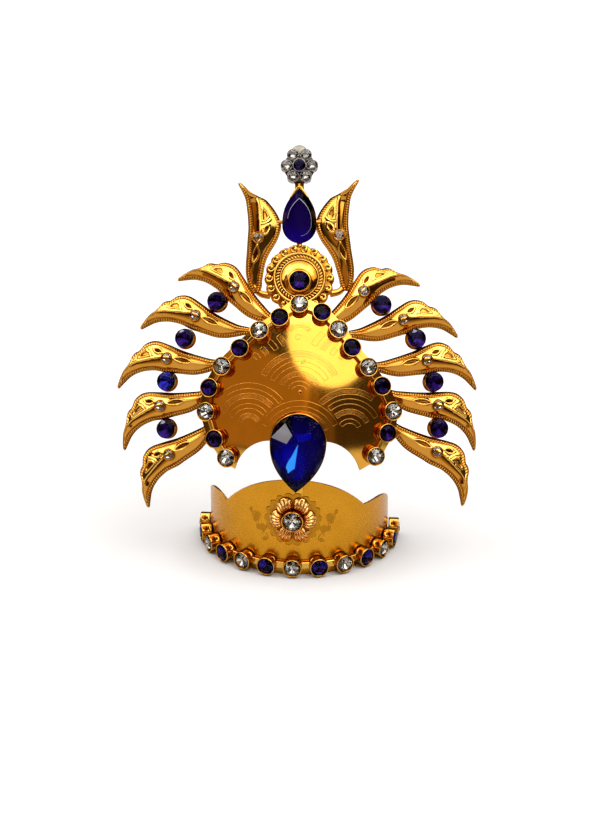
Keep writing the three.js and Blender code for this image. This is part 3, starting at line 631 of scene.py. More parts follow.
def stone_front(outline, table, girdle, top, pull=(0.0, 0.0), crown=CUT["crown"]):
    """Table, crown and girdle of a stone over an outline of main and half points in turn."""
    mains, halves = outline[0::2], outline[1::2]
    count = len(mains)
    table_spots = mains * table + np.asarray(pull)
    table_mid = (table_spots + np.roll(table_spots, -1, 0)) / 2
    crown_spots = table_mid + (halves - table_mid) * (crown - table) / (1 - table) * CUT["ease"]
    low = girdle - CUT["girdle"]
    points = np.concatenate([
        level(table_spots, top), level(crown_spots, girdle + CUT["rise"] * (top - girdle)),
        level(mains, girdle), level(halves, girdle), level(mains, low), level(halves, low),
    ])
    t, m, g, h, gl, hl = np.arange(6 * count).reshape(6, count).tolist()
    faces = [t]
    for i in range(count):
        j, k = (i + 1) % count, i - 1
        faces += [[t[j], t[i], m[i]], [t[i], m[k], g[i], m[i]], [m[i], g[i], h[i]], [m[i], h[i], g[j]]]
        faces += [[g[i], gl[i], hl[i], h[i]], [h[i], hl[i], gl[j], g[j]]]
    return points, faces


def kite(main):
    """Index of the crown facet below one of the table's corners, among the faces of a stone's front."""
    return 2 + 6 * main


def stone_back(outline, girdle, depth):
    """Facets of the back, each as its corners."""
    low = girdle - CUT["girdle"]
    mains, halves = level(outline[0::2], low), level(outline[1::2], low)
    lower = level(outline[1::2] * CUT["reach"], low - CUT["sink"] * depth)
    apex = np.array([0, 0, low - depth])
    facets = []
    for i in range(len(mains)):
        after = mains[(i + 1) % len(mains)]
        facets += [[apex, lower[i], mains[i], lower[i - 1]], [lower[i], halves[i], mains[i]],
                   [lower[i], after, halves[i]]]
    return facets


def add_stone(form, place, stone, turn=0.0, painted_glint_main=None):
    """Round stone with a foiled back, each facet with a tint of its own. The glint main, if given, is the
    main whose crown facet is painted pale as a glint.
    """
    outline = polar(stone["radius"], round_angles(2 * CUT["mains"]) + turn)
    start = len(form.faces)
    front = stone_front(outline, stone["table"] / stone["radius"], stone["girdle"], stone["top"])
    form.put(place, front, rounded=False)
    if painted_glint_main is not None:
        form.finishes[start + kite(painted_glint_main)] = PAINTED_GLINT_FINISH
    back = stone_back(outline, stone["girdle"], stone["depth"])
    for corners, tint in zip(back, RANDOM.uniform(0, FOIL_TINT, len(back))):
        form.add(place(corners), [range(len(corners))], finish=BACK_FINISH, rounded=False, tint=tint)


def make_stone(name, place, stone, finishes, nodes=(), turn=0.0, painted_glint_main=None):
    form = Form()
    add_stone(form, place, stone, turn, painted_glint_main)
    form.make(name, finishes, "clear_stone" if finishes is CLEAR else "blue_stone", nodes)


# Head band

BAND_NET = {"columns": 280, "rows": 30}
# Worn plating towards the ends of the band
BAND_WEAR = {"from": 58, "to": 92, "tint": 0.4}
# Rolled edge of the plate. Rows: depth behind its front, rise over its top
RIM = 0.12
RIM_ROWS = [(0.0, 0.0), (0.2, 0.1), (0.4, RIM), (0.6, 0.1), (0.8, 0.0)]
RIM_TINT = 0.75


def make_band():
    degrees = np.linspace(-BAND_END, BAND_END, BAND_NET["columns"])
    share = np.linspace(0, 1, BAND_NET["rows"])[:, None]
    angle, top = np.radians(degrees), band_top(degrees) - RIM
    worn = BAND_WEAR["tint"] * smooth_step(BAND_WEAR["from"], BAND_WEAR["to"], np.abs(degrees))
    front, back = (band_to_world(band_spot(radius, angle + 0 * share, share * top))
                   for radius in (BAND_RADIUS, BAND_RADIUS - SHEET))
    faces = net(BAND_NET["rows"], BAND_NET["columns"])
    form = Form()
    form.add(front, faces, tint=worn + 0 * share)
    form.add(back, flipped(faces))
    edge = np.concatenate([angle, angle[::-1]])
    height = np.concatenate([0 * top, top[::-1]])
    ring = [band_to_world(band_spot(BAND_RADIUS - deep, edge, height + rise * (height > 0)))
            for deep, rise in RIM_ROWS]
    form.add(np.stack(ring), net(len(ring), len(edge), around=True), tint=RIM_TINT)
    form.make("head_band_plate", [SATIN_GOLD], "gold_metal", ["head_band"])


# Lace disc behind the flower. Rows: share of the radius, lift off the plate, tint
LACE = {"radius": 9.6, "lobes": 18, "columns": 288, "dip": 0.1, "dip_from": 0.6, "dip_to": 0.9,
        "fold": 0.02, "fold_from": 0.75}
LACE_ROWS = [(0.55, 0.06, 0.45), (0.7, 0.09, 0.4), (0.78, 0.05, 0.6), (0.86, 0.1, 0.4),
             (0.95, 0.1, 0.35), (0.99, 0.06, 0.4), (1.0, -0.02, 0.5)]
# Spray beside the flower: leaves, the share and lift of each row of a leaf, and stalks
SPRAY_LEAVES = [
    lens((11.2, -0.6), (13.9, 0.1), 0.42), lens((11.5, -0.8), (12.2, 1.6), 0.42),
    lens((11.8, -1.2), (13.8, -1.9), 0.4), lens((9.6, -5.3), (10.6, -2.4), 0.42),
    lens((10.9, -4.9), (12.5, -3.1), 0.4), lens((14.0, 0.8), (15.0, 2.3), 0.4),
    lens((8.3, -7.3), (10.5, -8.3), 0.3),
]
SPRAY_LEAF_ROWS = np.array([(0.05, 0.09), (0.6, 0.07), (1.0, 0.0)])
SPRAY_LEAF_TINT = 0.45
SPRAY_STALKS = [
    bow((11.4, -0.8), (9.9, -5.4), 0.22), bow((9.9, -5.4), (8.2, -7.6), -0.15),
    bow((12.6, -2.9), (10.2, -6.4), -0.2), spiral((13.0, -0.2), -150, -0.8, 1.7, 0.9),
    bow((14.2, 0.6), (14.6, 2.6), 0.15),
]
STALK = {"radius": 0.11, "sides": 6, "flat": 0.5, "lift": 0.01, "tint": 0.35}


def add_spray(form, mirror):
    for line in SPRAY_STALKS:
        path = on_band(line * mirror, FLOWER["height"], STALK["lift"])
        normal = unit(path * np.array([1, 1, 0]))
        stalk = tube(path, STALK["radius"], STALK["sides"], up=normal, flat=STALK["flat"])
        form.add(*stalk, tint=STALK["tint"])
    share, lift = SPRAY_LEAF_ROWS.T
    for leaf in SPRAY_LEAVES:
        middle = leaf.mean(0)
        spots = middle + (leaf - middle) * share[:, None, None]
        points = on_band(spots * mirror, FLOWER["height"], lift[:, None])
        form.add(points, net(len(share), len(leaf), around=True), tint=SPRAY_LEAF_TINT)


def make_band_lace():
    """Pale lace disc behind the flower, and the leaf sprays engraved beside it."""
    form = Form()
    angles = round_angles(LACE["columns"])
    scallop = np.abs(np.cos(angles * LACE["lobes"] / 2))
    share, lift, tint = np.array(LACE_ROWS).T[:, :, None]
    dip = LACE["dip"] * (1 - scallop) * smooth_step(LACE["dip_from"], LACE["dip_to"], share)
    fold = LACE["fold"] * np.cos(angles * LACE["lobes"]) * (share > LACE["fold_from"]) * (share < 1)
    spots = polar(LACE["radius"] * share * (1 - dip), angles)
    points = on_band(spots, FLOWER["height"], lift + fold)
    form.add(points, net(len(share), len(angles), around=True), tint=tint + 0 * angles)
    for side in (-1, 1):
        add_spray(form, np.array([side, 1]))
    form.make("band_lace", [SATIN_GOLD], "gold_metal")


BAND_CHAIN = {"bar": 2.3, "shade": 0.15, "turn": 0.4}


def make_band_chain():
    steps = range(-BAND_CUPS_A_SIDE, BAND_CUPS_A_SIDE + 1)
    places = [band_place(i * BAND_CUP_STEP, BAND_CUP_HEIGHT) for i in steps]
    form = Form()
    add_chain(form, places, BAND_CUP, BAND_CHAIN["bar"], band_to_world, BAND_CHAIN["shade"])
    form.make("band_cups", [BRIGHT_GOLD], "gold_metal", ["band_chain"])
    for i, place in zip(steps, places):
        name = f"band_stone_{i + BAND_CUPS_A_SIDE + 1}"
        make_stone(name, place, BAND_STONE, BAND_BLUE if i % 2 else CLEAR, turn=BAND_CHAIN["turn"] * i)


PETAL = {"columns": 384, "rows": 16, "inner": 3.3, "ribs": 6, "stretch": 1.1}
# Heights of the petals' relief: body, swell of the body, ribs and rim, and the share that is left at an edge
PETAL_HIGH = {"body": 0.75, "swell": 0.75, "rib": 0.5, "rim": 0.02, "edge": 0.35}
# Painted shade on the petals: in the grooves between the ribs, towards the gaps between petals, and on the
# rim where they meet the band
PETAL_PAINTED_SHADE = {"rib": 0.62, "edge": 0.6, "rim": 0.8}
FLOWER_CUP_COLUMNS = 64


def make_band_flower():
    """Six ribbed petals round a collet, bent to the band."""
    angles = round_angles(PETAL["columns"])
    petal = np.abs(np.cos(angles * FLOWER["petals"] / 2))
    ribs = np.abs(np.cos(angles * FLOWER["petals"] * PETAL["ribs"] / 2)) ** 3
    reach = FLOWER["radius"] * (1 - FLOWER["dip"] * (1 - np.sqrt(petal)))
    share = np.linspace(0, 1, PETAL["rows"])[:, None]
    radii = PETAL["inner"] + (reach - PETAL["inner"]) * share
    body = PETAL_HIGH["body"] + PETAL_HIGH["swell"] * np.sin(math.pi * np.minimum(1, share * 1.1))
    edge = smooth_step(0, 0.3, petal) * (1 - 0.5 * share ** 6)
    on_ribs = np.sqrt(np.maximum(0, np.sin(math.pi * share ** 0.8)))
    heights = body * (PETAL_HIGH["edge"] + (1 - PETAL_HIGH["edge"]) * edge)
    heights = heights + PETAL_HIGH["rib"] * ribs * on_ribs * edge
    tints = PETAL_PAINTED_SHADE["rib"] * (1 - ribs) * on_ribs + PETAL_PAINTED_SHADE["edge"] * (1 - edge)
    rim = np.zeros((1, PETAL["columns"]))
    heights = np.concatenate([heights, rim + PETAL_HIGH["rim"]])
    tints = np.concatenate([np.clip(tints, 0, 1), rim + PETAL_PAINTED_SHADE["rim"]])
    spots = polar(np.concatenate([radii, radii[-1:]]), angles) * np.array([1, PETAL["stretch"]])
    form = Form()
    form.add(on_band(spots, FLOWER["height"], SEAT_GAP + heights),
             net(len(heights), PETAL["columns"], around=True), finish=1, tint=tints)
    place = band_place(0, FLOWER["height"] + FLOWER_CUP["rise"])
    r, wall, h = FLOWER_CUP["radius"], FLOWER_CUP["wall"], FLOWER_CUP["height"]
    # Collet rows: radius, height, tint; the tints are painted shade, darkest at the foot and inside
    collet = [(r - 0.3, 0.5, 0.8), (r, 0.9, 0.8), (r, h - 0.3, 0.55), (r - 0.06, h - 0.06, 0.35),
              (r - 0.2, h, 0.3), (r - 0.36, h - 0.05, 0.4), (r - wall, h - 0.3, 0.75), (r - wall, 0.6, 0.9)]
    add_turned(form, place, collet, FLOWER_CUP_COLUMNS)
    form.make("band_flower_petals", [BRIGHT_GOLD, PETAL_GOLD], "gold_metal", ["band_flower"])
    make_stone("band_flower_gem", place, FLOWER_STONE, CLEAR, ["band_flower_stone"])


# Shield

SHIELD_STEP = 0.9  # between the points of its net
OUTLINE_STEPS = 240
# Rolled edge of the plate. Rows: height over its front, growth of its outline
SHIELD_RIM = [(0.0, 0.0), (-0.15, 0.1), (-0.4, 0.14), (-0.65, 0.1), (-SHEET, 0.0)]
SHIELD_RIM_TINT = 0.15


def border_line(count):
    """Smooth line through the border cups, with its direction."""
    spots = np.concatenate([[2 * BORDER_CUPS[0] - BORDER_CUPS[1]], BORDER_CUPS,
                            [2 * BORDER_CUPS[-1] - BORDER_CUPS[-2]]])
    share = np.linspace(0, len(BORDER_CUPS) - 1, count)
    i = np.minimum(share.astype(int), len(BORDER_CUPS) - 2)
    w = (share - i)[:, None]
    before, one, two, after = (spots[i + k] for k in range(4))
    d0, d1, d2 = (np.sqrt(np.linalg.norm(end - start, axis=1, keepdims=True))
                  for start, end in ((before, one), (one, two), (two, after)))
    leave = ((one - before) / d0 - (two - before) / (d0 + d1) + (two - one) / d1) * d1
    reach = ((two - one) / d1 - (after - one) / (d1 + d2) + (after - two) / d2) * d1
    cubic = 2 * one - 2 * two + leave + reach
    square = -3 * one + 3 * two - 2 * leave - reach
    line = one + leave * w + square * w ** 2 + cubic * w ** 3
    return line, unit(leave + 2 * square * w + 3 * cubic * w ** 2)


def hollow_arc(hollow, start, end, steps=40):
    return np.array([hollow["u"], hollow["v"]]) + polar(hollow["radius"], np.linspace(start, end, steps))


def shield_outline(margin):
    line, along = border_line(OUTLINE_STEPS)
    right, left = RIGHT_HOLLOW, LEFT_HOLLOW
    right_top = math.pi - math.acos((right["u"] - TONGUE["top"]) / right["radius"])
    left_top = math.acos((-left["u"] - TONGUE["top"]) / left["radius"])
    return np.concatenate([
        [(-TONGUE["foot"], TONGUE["v"]), (TONGUE["foot"], TONGUE["v"])],
        hollow_arc(right, right_top, right["corner"]),
        line + margin * np.stack([along[:, 1], -along[:, 0]], -1),
        hollow_arc(left, math.pi - left["corner"], left_top),
    ])


def inside(outline, spots):
    """Which spots lie inside a closed outline."""
    x, y = spots[:, 0][:, None], spots[:, 1][:, None]
    ax, ay = outline[:, 0], outline[:, 1]
    bx, by = np.roll(ax, -1), np.roll(ay, -1)
    spans = (ay > y) != (by > y)
    cross = ax + (y - ay) * (bx - ax) / np.where(by == ay, 1e-9, by - ay)
    return (np.sum(spans & (x < cross), axis=1) % 2) == 1


def filled(outline, step):
    """Flat triangles over the inside of an outline, with points about a step apart."""
    low, high = outline.min(0), outline.max(0)
    u, v = np.meshgrid(np.arange(low[0], high[0], step), np.arange(low[1], high[1], step))
    u = u + 0.5 * step * (np.arange(len(u)) % 2)[:, None]
    spots = np.stack([u.ravel(), v.ravel()], -1)
    spots = spots[inside(outline, spots)]
    gap = np.min(np.linalg.norm(spots[:, None] - outline[None, ::2], axis=2), axis=1)
    points = np.concatenate([outline, spots[gap > 0.5 * step]])
    loop = [list(range(len(outline)))]
    result = delaunay_2d_cdt([Vector(p) for p in points.tolist()], [], loop, 1, 1e-6)
    return np.array([tuple(p) for p in result[0]]), [list(face) for face in result[2]]


# Fans of the wave engraving, nearest row first, the rings of each fan and the arc that it is drawn over
FANS = np.array([
    (0.0, 28.7), (16.0, 32.6), (-16.2, 34.4), (0.0, 44.6), (16.0, 54.2), (-16.0, 54.2), (0.0, 63.4),
])
FAN_RINGS = [(2.7, 4.1), (5.7, 7.2), (8.9, 10.5), (12.0, 13.8)]
FAN_REACH = 14.5
FAN_ARC = np.radians(np.linspace(-62, 62, 75))
FAN_LEAST = 5  # steps of the shortest stretch that is drawn
FAN_MARGIN = -3.6  # from the border
# Raised lines of the engraving. Columns: radius, tint
WAVE_LINE, HATCH_LINE = (0.075, 0.15), (0.045, 0.35)
DIAMOND_LINE, CURL_LINE, SEED_LINE = (0.1, 0.0), (0.13, 0.0), (0.12, 0.0)
HATCHES = (0.3, 0.5, 0.7)
DIAMOND = np.array([(0.2, 45.8), (0.75, 45.2), (0.2, 44.6), (-0.35, 45.2)])
CURL = spiral((-0.4, 62.7), 30, 0.9, 1.1, 0.4)
SEED = lens((0.6, 54.2), (1.9, 55.6), 0.2)


def on_fan(fan, radius, angles):
    return fan + radius * np.stack([np.sin(angles), np.cos(angles)], -1)


def fan_runs(index, radius, field):
    """Stretches of one ring of a fan that no nearer fan covers and that stay clear of the border."""
    spots = on_fan(FANS[index], radius, FAN_ARC)
    shown = inside(field, spots)
    for other in FANS[:index]:
        if other[1] < FANS[index][1] - 1:
            shown &= np.linalg.norm(spots - other, axis=1) > FAN_REACH
    ends = np.flatnonzero(np.diff(shown)) + 1
    runs = zip(np.split(FAN_ARC, ends), np.split(shown, ends))
    return [run for run, seen in runs if seen[0] and len(run) >= FAN_LEAST]


def add_line(form, path, line, closed=False):
    """Fine raised line on the front of the shield."""
    radius, tint = line
    normal = lean_to_world(dome_normal(path[:, 0], path[:, 1])) - lean_to_world(np.zeros(3))
    wire = tube(on_dome(path, 0.01), radius, 6, closed=closed, up=normal, flat=0.45)
    form.add(*wire, finish=1, tint=tint)


def add_engraving(form):
    """Wave pattern: fans of closed ring pieces, each drawn by a fine raised line, some of them hatched."""
    field = shield_outline(FAN_MARGIN)
    for index, fan in enumerate(FANS):
        for ring, (inner, outer) in enumerate(FAN_RINGS):
            for run in fan_runs(index, (inner + outer) / 2, field):
                loop = [on_fan(fan, outer, run), on_fan(fan, inner, run[::-1])]
                add_line(form, np.concatenate(loop), WAVE_LINE, closed=True)
                if (index + ring) % 2 == 0:
                    for share in HATCHES:
                        add_line(form, on_fan(fan, inner + (outer - inner) * share, run[1:-1]), HATCH_LINE)
    form.add(on_dome(DIAMOND, 0.04), [[0, 1, 2, 3]], finish=1, rounded=False, tint=1.0)
    add_line(form, np.concatenate([DIAMOND, DIAMOND[:1]]), DIAMOND_LINE)
    add_line(form, CURL, CURL_LINE)
    add_line(form, SEED, SEED_LINE, closed=True)


def make_shield():
    outline = shield_outline(EDGE_MARGIN)
    spots, faces = filled(outline, SHIELD_STEP)
    form = Form()
    form.add(on_dome(spots, 0.0), faces)
    form.add(on_dome(spots, -SHEET), flipped(faces))
    across = np.roll(outline, -1, 0) - np.roll(outline, 1, 0)
    outward = unit(np.stack([across[:, 1], -across[:, 0]], -1))
    ring = [on_dome(outline + grow * outward, lift) for lift, grow in SHIELD_RIM]
    form.add(np.stack(ring), net(len(ring), len(outline), around=True), tint=SHIELD_RIM_TINT)
    add_engraving(form)
    form.make("shield_plate", [SHIELD_GOLD, LINE_GOLD], "gold_metal", ["shield"])


BORDER_CHAIN = {"bar": 1.3, "shade": 0.55, "turn": 0.5}


def make_border():
    _, along = border_line(len(BORDER_CUPS))
    places = [dome_place(u, v, dome_normal(u, v), (*ahead, 0)) for (u, v), ahead in zip(BORDER_CUPS, along)]
    form = Form()
    add_chain(form, places, CUP, BORDER_CHAIN["bar"], lean_to_world, BORDER_CHAIN["shade"])
    form.make("border_cups", [BRIGHT_GOLD], "gold_metal", ["border_chain"])
    for i, place in enumerate(places):
        make_stone(f"border_gem_{i + 1}", place, STONE, NAVY if i % 2 else CLEAR,
                   [f"border_stone_{i + 1}"], BORDER_CHAIN["turn"] * i)


# Large drop

# Cup. Rows: growth of the pear, height, tint; the tints are painted shade, darkest at the foot and inside,
# the rim left bright
DROP_CUP_ROWS = [(0.1, -0.6, 0.6), (0.4, -0.4, 0.4), (0.5, 0.0, 0.2), (0.5, 2.5, 0.1), (0.48, 2.85, 0),
                 (0.42, 3.0, 0), (0.36, 3.02, 0), (0.28, 2.9, 0.2), (0.24, 2.6, 0.5), (0.2, -0.55, 0.8)]
DROP_CUP_COLUMNS = 120
# Cut of the stone, over the pear grown a little
DROP_CUT = {"grow": 0.2, "table": 0.45, "pull": (0.5, -0.9), "girdle": 3.25, "top": 6.4, "crown": 0.9}
# Crown facet painted pale as a glint, with the corners that are moved for it
PAINTED_GLINT_MAIN = 5
PAINTED_GLINT_TURN = np.radians([14, 8])
PAINTED_GLINT_CORNERS = {5: (-2.0, 3.0, 6.4), 12: (-4.45, 6.7, 5.74), 13: (-3.7, -0.1, 5.3)}
# Foiled bed under the glass: height at the pear's centre, slope along it, and the centre of its painted glow,
# where the foil is painted lighter
BED = {"z": 1.75, "slope": 0.13, "glow": (-2.2, -6.2), "wide": 30.0, "long": 50.0, "columns": 96,
       "grow": 0.17, "rim": 0.15, "rim_z": 3.13}
BED_ROWS = np.array([0.02, 0.12, 0.24, 0.36, 0.48, 0.6, 0.7, 0.8, 0.88, 0.95, 1.0])
# Facets of the bed that stand out, painted lighter than the bed round them as glints. Columns: corners,
# height over the bed, finish, tint
BED_FACETS = [
    ([(-1.3, 2.4), (4.2, 3.1), (3.9, 1.2), (0.2, -0.2)], 0.04, 1, 0.2),
    ([(2.6, -6.5), (1.3, -12.2), (-0.6, -12.6), (0.6, -7.2)], 0.04, 1, 0.35),
    ([(-6.9, -2.6), (-3.4, -7.6), (-4.9, -8.8), (-7.2, -4.9)], 0.04, 1, 0.35),
    ([(0.05, -0.7), (-0.7, -8.9), (-2.4, -10.6), (-3.4, -8.3)], 0.06, 3, 0.0),
]


def front_place():
    tilt, roll = FRONT_DROP["tilt"], FRONT_DROP["roll"]
    normal = np.array([0, -math.sin(tilt), math.cos(tilt)])
    return dome_place(FRONT_DROP["u"], FRONT_DROP["v"], normal, (math.cos(roll), math.sin(roll), 0))


def on_bed(spots, lift=0.0):
    height = BED["z"] + BED["slope"] * spots[..., 1] + lift
    return np.concatenate([spots, height[..., None]], -1)


def add_bed(form, place):
    """Foiled back of the large drop: a slanted bed with a painted glow, lighter in the middle, and a few
    facets in it.
    """
    angles = round_angles(BED["columns"])
    spots = BED_ROWS[:, None, None] * pear_spot(FRONT_PEAR, angles, BED["grow"])
    # Painted glow: the foil is lighter about the glow's centre and darker towards the rim
    apart = (spots - np.array(BED["glow"])) ** 2
    glow = np.exp(-apart[..., 0] / BED["wide"] - apart[..., 1] / BED["long"])
    edge = smooth_step(0.55, 1.0, BED_ROWS)[:, None]
    tint = 1 - (0.25 + 0.6 * glow) * (1 - 0.9 * edge)
    faces = capped(len(BED_ROWS), BED["columns"])[:-1]
    form.put(place, (on_bed(spots), faces), finish=BACK_FINISH, tint=tint)
    rim = level(pear_spot(FRONT_PEAR, angles, BED["rim"]), BED["rim_z"])
    wall = np.stack([on_bed(spots[-1]), rim])
    form.put(place, (wall, net(2, BED["columns"], around=True)), finish=BACK_FINISH, tint=1.0)
    for corners, lift, finish, tint in BED_FACETS:
        facet = on_bed(np.array(corners), lift)
        form.put(place, (facet, [[0, 1, 2, 3]]), finish=finish, rounded=False, tint=tint)


def make_front_drop():
    place = front_place()
    angles = round_angles(DROP_CUP_COLUMNS)
    ring = [level(pear_spot(FRONT_PEAR, angles, grow), z) for grow, z, _ in DROP_CUP_ROWS]
    tints = [tint for _, _, tint in DROP_CUP_ROWS]
    form = Form()
    form.put(place, (np.stack(ring), capped(len(ring), len(angles))), tint=np.repeat(tints, len(angles)))
    form.make("front_drop_cup", [BRIGHT_GOLD], "gold_metal", ["front_drop_setting"])
    corners = round_angles(2 * CUT["mains"]) - math.pi / 2 + TAU / (2 * CUT["mains"])
    corners[2 * PAINTED_GLINT_MAIN:2 * PAINTED_GLINT_MAIN + 2] += PAINTED_GLINT_TURN
    points, faces = stone_front(pear_spot(FRONT_PEAR, corners, DROP_CUT["grow"]), DROP_CUT["table"],
                                DROP_CUT["girdle"], DROP_CUT["top"], DROP_CUT["pull"], DROP_CUT["crown"])
    for index, spot in PAINTED_GLINT_CORNERS.items():
        points[index] = spot
    form = Form()
    form.put(place, (points, faces), rounded=False)
    # Painted glint: this crown facet gets the pale finish
    form.finishes[kite(PAINTED_GLINT_MAIN)] = PAINTED_GLINT_FINISH
    add_bed(form, place)
    form.make("front_drop_gem", [DROP_GLASS, DROP_BED, PAINTED_GLINT_FACET, AZURE_FOIL], "blue_stone",
              ["front_drop_stone"])


# Leaves

# Net of a leaf's face: rows along it, columns between the ropes, rows of its back, and the steepest edge
LEAF_NET = {"rows": 260, "middle": 24, "back": 8, "slant": 1.7}
ROPE = {"middle": 0.74, "half": 0.5, "high": 0.52, "pitch": 0.82, "low": 0.3, "room": 0.42, "span": 1.3}
LEAF_INNER = 1.2  # from the edge to the inside of the rope
# Columns of the net across a rope, from the edge
ROPE_COLUMNS = np.array([0, 0.1, 0.2, 0.3, 0.4, 0.5, 0.62, 0.74, 0.86, 0.98, 1.1, LEAF_INNER, 1.35, 1.55])
LEAF_SWELL = 1.1  # height of the ridge over the plain blade
LEAF_DROOP = 0.45  # how far the high edge bends back
LEAF_FALL = 1.15  # power of the fall from the ridge to an edge
# Heights and depths of the stamping
STAMP = {"rim": 0.2, "groove": 0.25, "wire": 0.3, "cell": 0.6}
# Ridge that runs from the root past the stone to the tip, x along the leaf and y across it
RIDGE_X = np.array([-17.7, -14, -11, -7.8, -5, -2, 0, 2, 4, 8, 11, 13, 15, 17, 18.4])
RIDGE_Y = np.array([-4.3, -4.2, -3.6, -2.7, -1.7, -0.5, 0.2, 0.85, 1.1, 1.35, 1.45, 1.0, -0.3, -2.5, -4.2])
PLANK = {"half": 0.42, "high": 0.22, "from": 1.2, "to": 13.5}
# Width of the painted shadow in the hollow under the ridge, along the leaf
RIDGE_SHADOW_X = np.array([0.5, 2, 5, 8, 12, 13.5])
RIDGE_SHADOW_WIDE = np.array([0.6, 1.6, 1.25, 0.85, 0.4, 0.2])
# Sunk cells, with the depth of each as a share, and raised veins
LEAF_CELLS = [
    (lens((0.9, 2.2), (4.0, 4.1), 0.2), 1.0),
    (lens((-2.2, -0.4), (-7.9, -2.8), 0.15), 1.0),
    (np.array([(5.2, 2.2), (7.5, 2.35), (9.6, 2.6), (8.2, 3.7), (6.4, 4.2), (5.4, 3.3)]), 0.5),
]
LEAF_VEINS = [bow((4.4, 2.1), (5.6, 4.7), 0.1), bow((-7.9, -2.8), (-15.5, -4.3), 0.05)]
# Tints on a leaf, painted shade: in the gaps of the ropes, along the outline, in the cells and grooves, round
# the stone and on the lower field; raised wires clear it, and the plain back gets a little tint
PAINTED_SHADE = {"low_rope": 1.0, "high_rope": 0.7, "outline": 0.9, "cell": 0.9, "groove": 0.9, "stone": 0.85,
         "low_field": 0.34, "wire": 0.9, "back": 0.1}


def distance_to(spots, line, closed=False):
    """Distance of each spot from a drawn line."""
    starts = line if closed else line[:-1]
    ends = np.roll(line, -1, 0) if closed else line[1:]
    best = np.full(len(spots), 1e9)
    for a, b in zip(starts, ends):
        ab = b - a
        t = np.clip(((spots - a) @ ab) / (ab @ ab), 0, 1)
        best = np.minimum(best, np.linalg.norm(spots - (a + t[:, None] * ab), axis=1))
    return best


def rounded_wire(gap, half):
    """Height of a round wire, as a share, at a distance from its middle."""
    return np.sqrt(np.clip(1 - (gap / half) ** 2, 0, 1))


def leaf_body(along):
    rise = np.minimum(1, along / LEAF_STONE["along"])
    fall = np.maximum(0, (along - LEAF_STONE["along"]) / (1 - LEAF_STONE["along"]))
    body = LEAF_RIDGE["root"] + (LEAF_RIDGE["body"] - LEAF_RIDGE["root"]) * rise
    return body + (LEAF_RIDGE["tip"] - body) * fall


def leaf_net(edge_table):
    """Net over a leaf's face, close along the edges, with the measures that its relief is worked out from."""
    along = np.linspace(0, edge_table[-1, 0], LEAF_NET["rows"])
    step = LEAF_LENGTH * along[1]
    shift = LEAF_STONE["up"] * LEAF_LENGTH
    low, high = (through(edge_table[:, 0], edge_table[:, k], along) * LEAF_LENGTH - shift for k in (1, 2))
    width = (high - low)[:, None]
    shrink = np.minimum(1, ROPE["room"] * width / (LEAF_INNER * ROPE["span"]))
    low_slant, high_slant = (np.minimum(np.hypot(1, np.gradient(edge, step)), LEAF_NET["slant"])[:, None]
                             for edge in (low, high))
    low_scale, high_scale = shrink * low_slant, shrink * high_slant
    from_low, from_high = ROPE_COLUMNS * low_scale, ROPE_COLUMNS * high_scale
    start, end = from_low[:, -1:], width - from_high[:, -1:]
    share = np.linspace(0, 1, LEAF_NET["middle"] + 2)[1:-1]
    across = np.concatenate([from_low, start + (end - start) * share, width - from_high[:, ::-1]], 1)
    near_low, near_high = across / low_scale, (width - across) / high_scale
    leaf = SimpleNamespace(along=along[:, None], low=low[:, None], high=high[:, None], shrink=shrink)
    leaf.x = (leaf.along - LEAF_STONE["along"]) * LEAF_LENGTH + 0 * across
    leaf.y = leaf.low + across
    leaf.ridge = through(RIDGE_X, RIDGE_Y, np.clip(leaf.x, RIDGE_X[0], RIDGE_X[-1]))
    leaf.over = leaf.y - leaf.ridge
    leaf.near = np.minimum(near_low, near_high)
    leaf.on_low = near_low < near_high
    run = np.where(leaf.on_low, np.cumsum(low_slant, 0) * step, np.cumsum(high_slant, 0) * step)
    leaf.rib = 0.5 + 0.5 * np.cos(TAU * run / ROPE["pitch"])
    leaf.inner = smooth_step(LEAF_INNER - 0.1, LEAF_INNER + 0.35, leaf.near)
    leaf.steep = (smooth_step(PLANK["from"] - 1, PLANK["from"] + 1, leaf.x)
                  * (1 - smooth_step(PLANK["to"] - 2, PLANK["to"], leaf.x)))
    leaf.groove = (np.clip(1 - np.abs(leaf.near - LEAF_INNER - 0.1) / 0.35, 0, 1)
                   * np.where(leaf.on_low, 1, 1 - smooth_step(-1, 4, leaf.x)))
    return leaf


def leaf_roof(leaf):
    """Height of the blade, which falls from the ridge to both edges, steeper below it on the tip side."""
    up = np.clip(leaf.over / np.maximum(leaf.high - leaf.ridge, 0.4), 0, 1)
    down = np.clip(-leaf.over / np.maximum(leaf.ridge - leaf.low, 0.4), 0, 1)
    swell = LEAF_SWELL * smooth_step(0.05, 0.4, leaf.along) * (1 - smooth_step(0.9, 1, leaf.along))
    crest = leaf_body(leaf.along) + swell
    below = smooth_step(PLANK["half"] - 0.05, PLANK["half"] + 0.3, -leaf.over) * leaf.steep
    plank = leaf.steep * (1 - smooth_step(PLANK["half"] - 0.12, PLANK["half"] + 0.08, np.abs(leaf.over)))
    above = crest * (1 - up ** LEAF_FALL) - LEAF_DROOP * up ** 2
    roof = np.where(leaf.over > 0, above, crest * (1 - down ** LEAF_FALL) * (1 - 0.45 * below))
    return roof + PLANK["high"] * plank


def leaf_rope(leaf):
    """Height of the ropes along the edges and of the grooves inside them."""
    swell = rounded_wire(leaf.near - ROPE["middle"], ROPE["half"])
    rope = ROPE["high"] * swell * (ROPE["low"] + (1 - ROPE["low"]) * leaf.rib) * leaf.shrink
    rim = STAMP["rim"] * np.clip(1 - leaf.near / 0.22, 0, 1) ** 2
    return rope - rim - STAMP["groove"] * leaf.groove * leaf.shrink


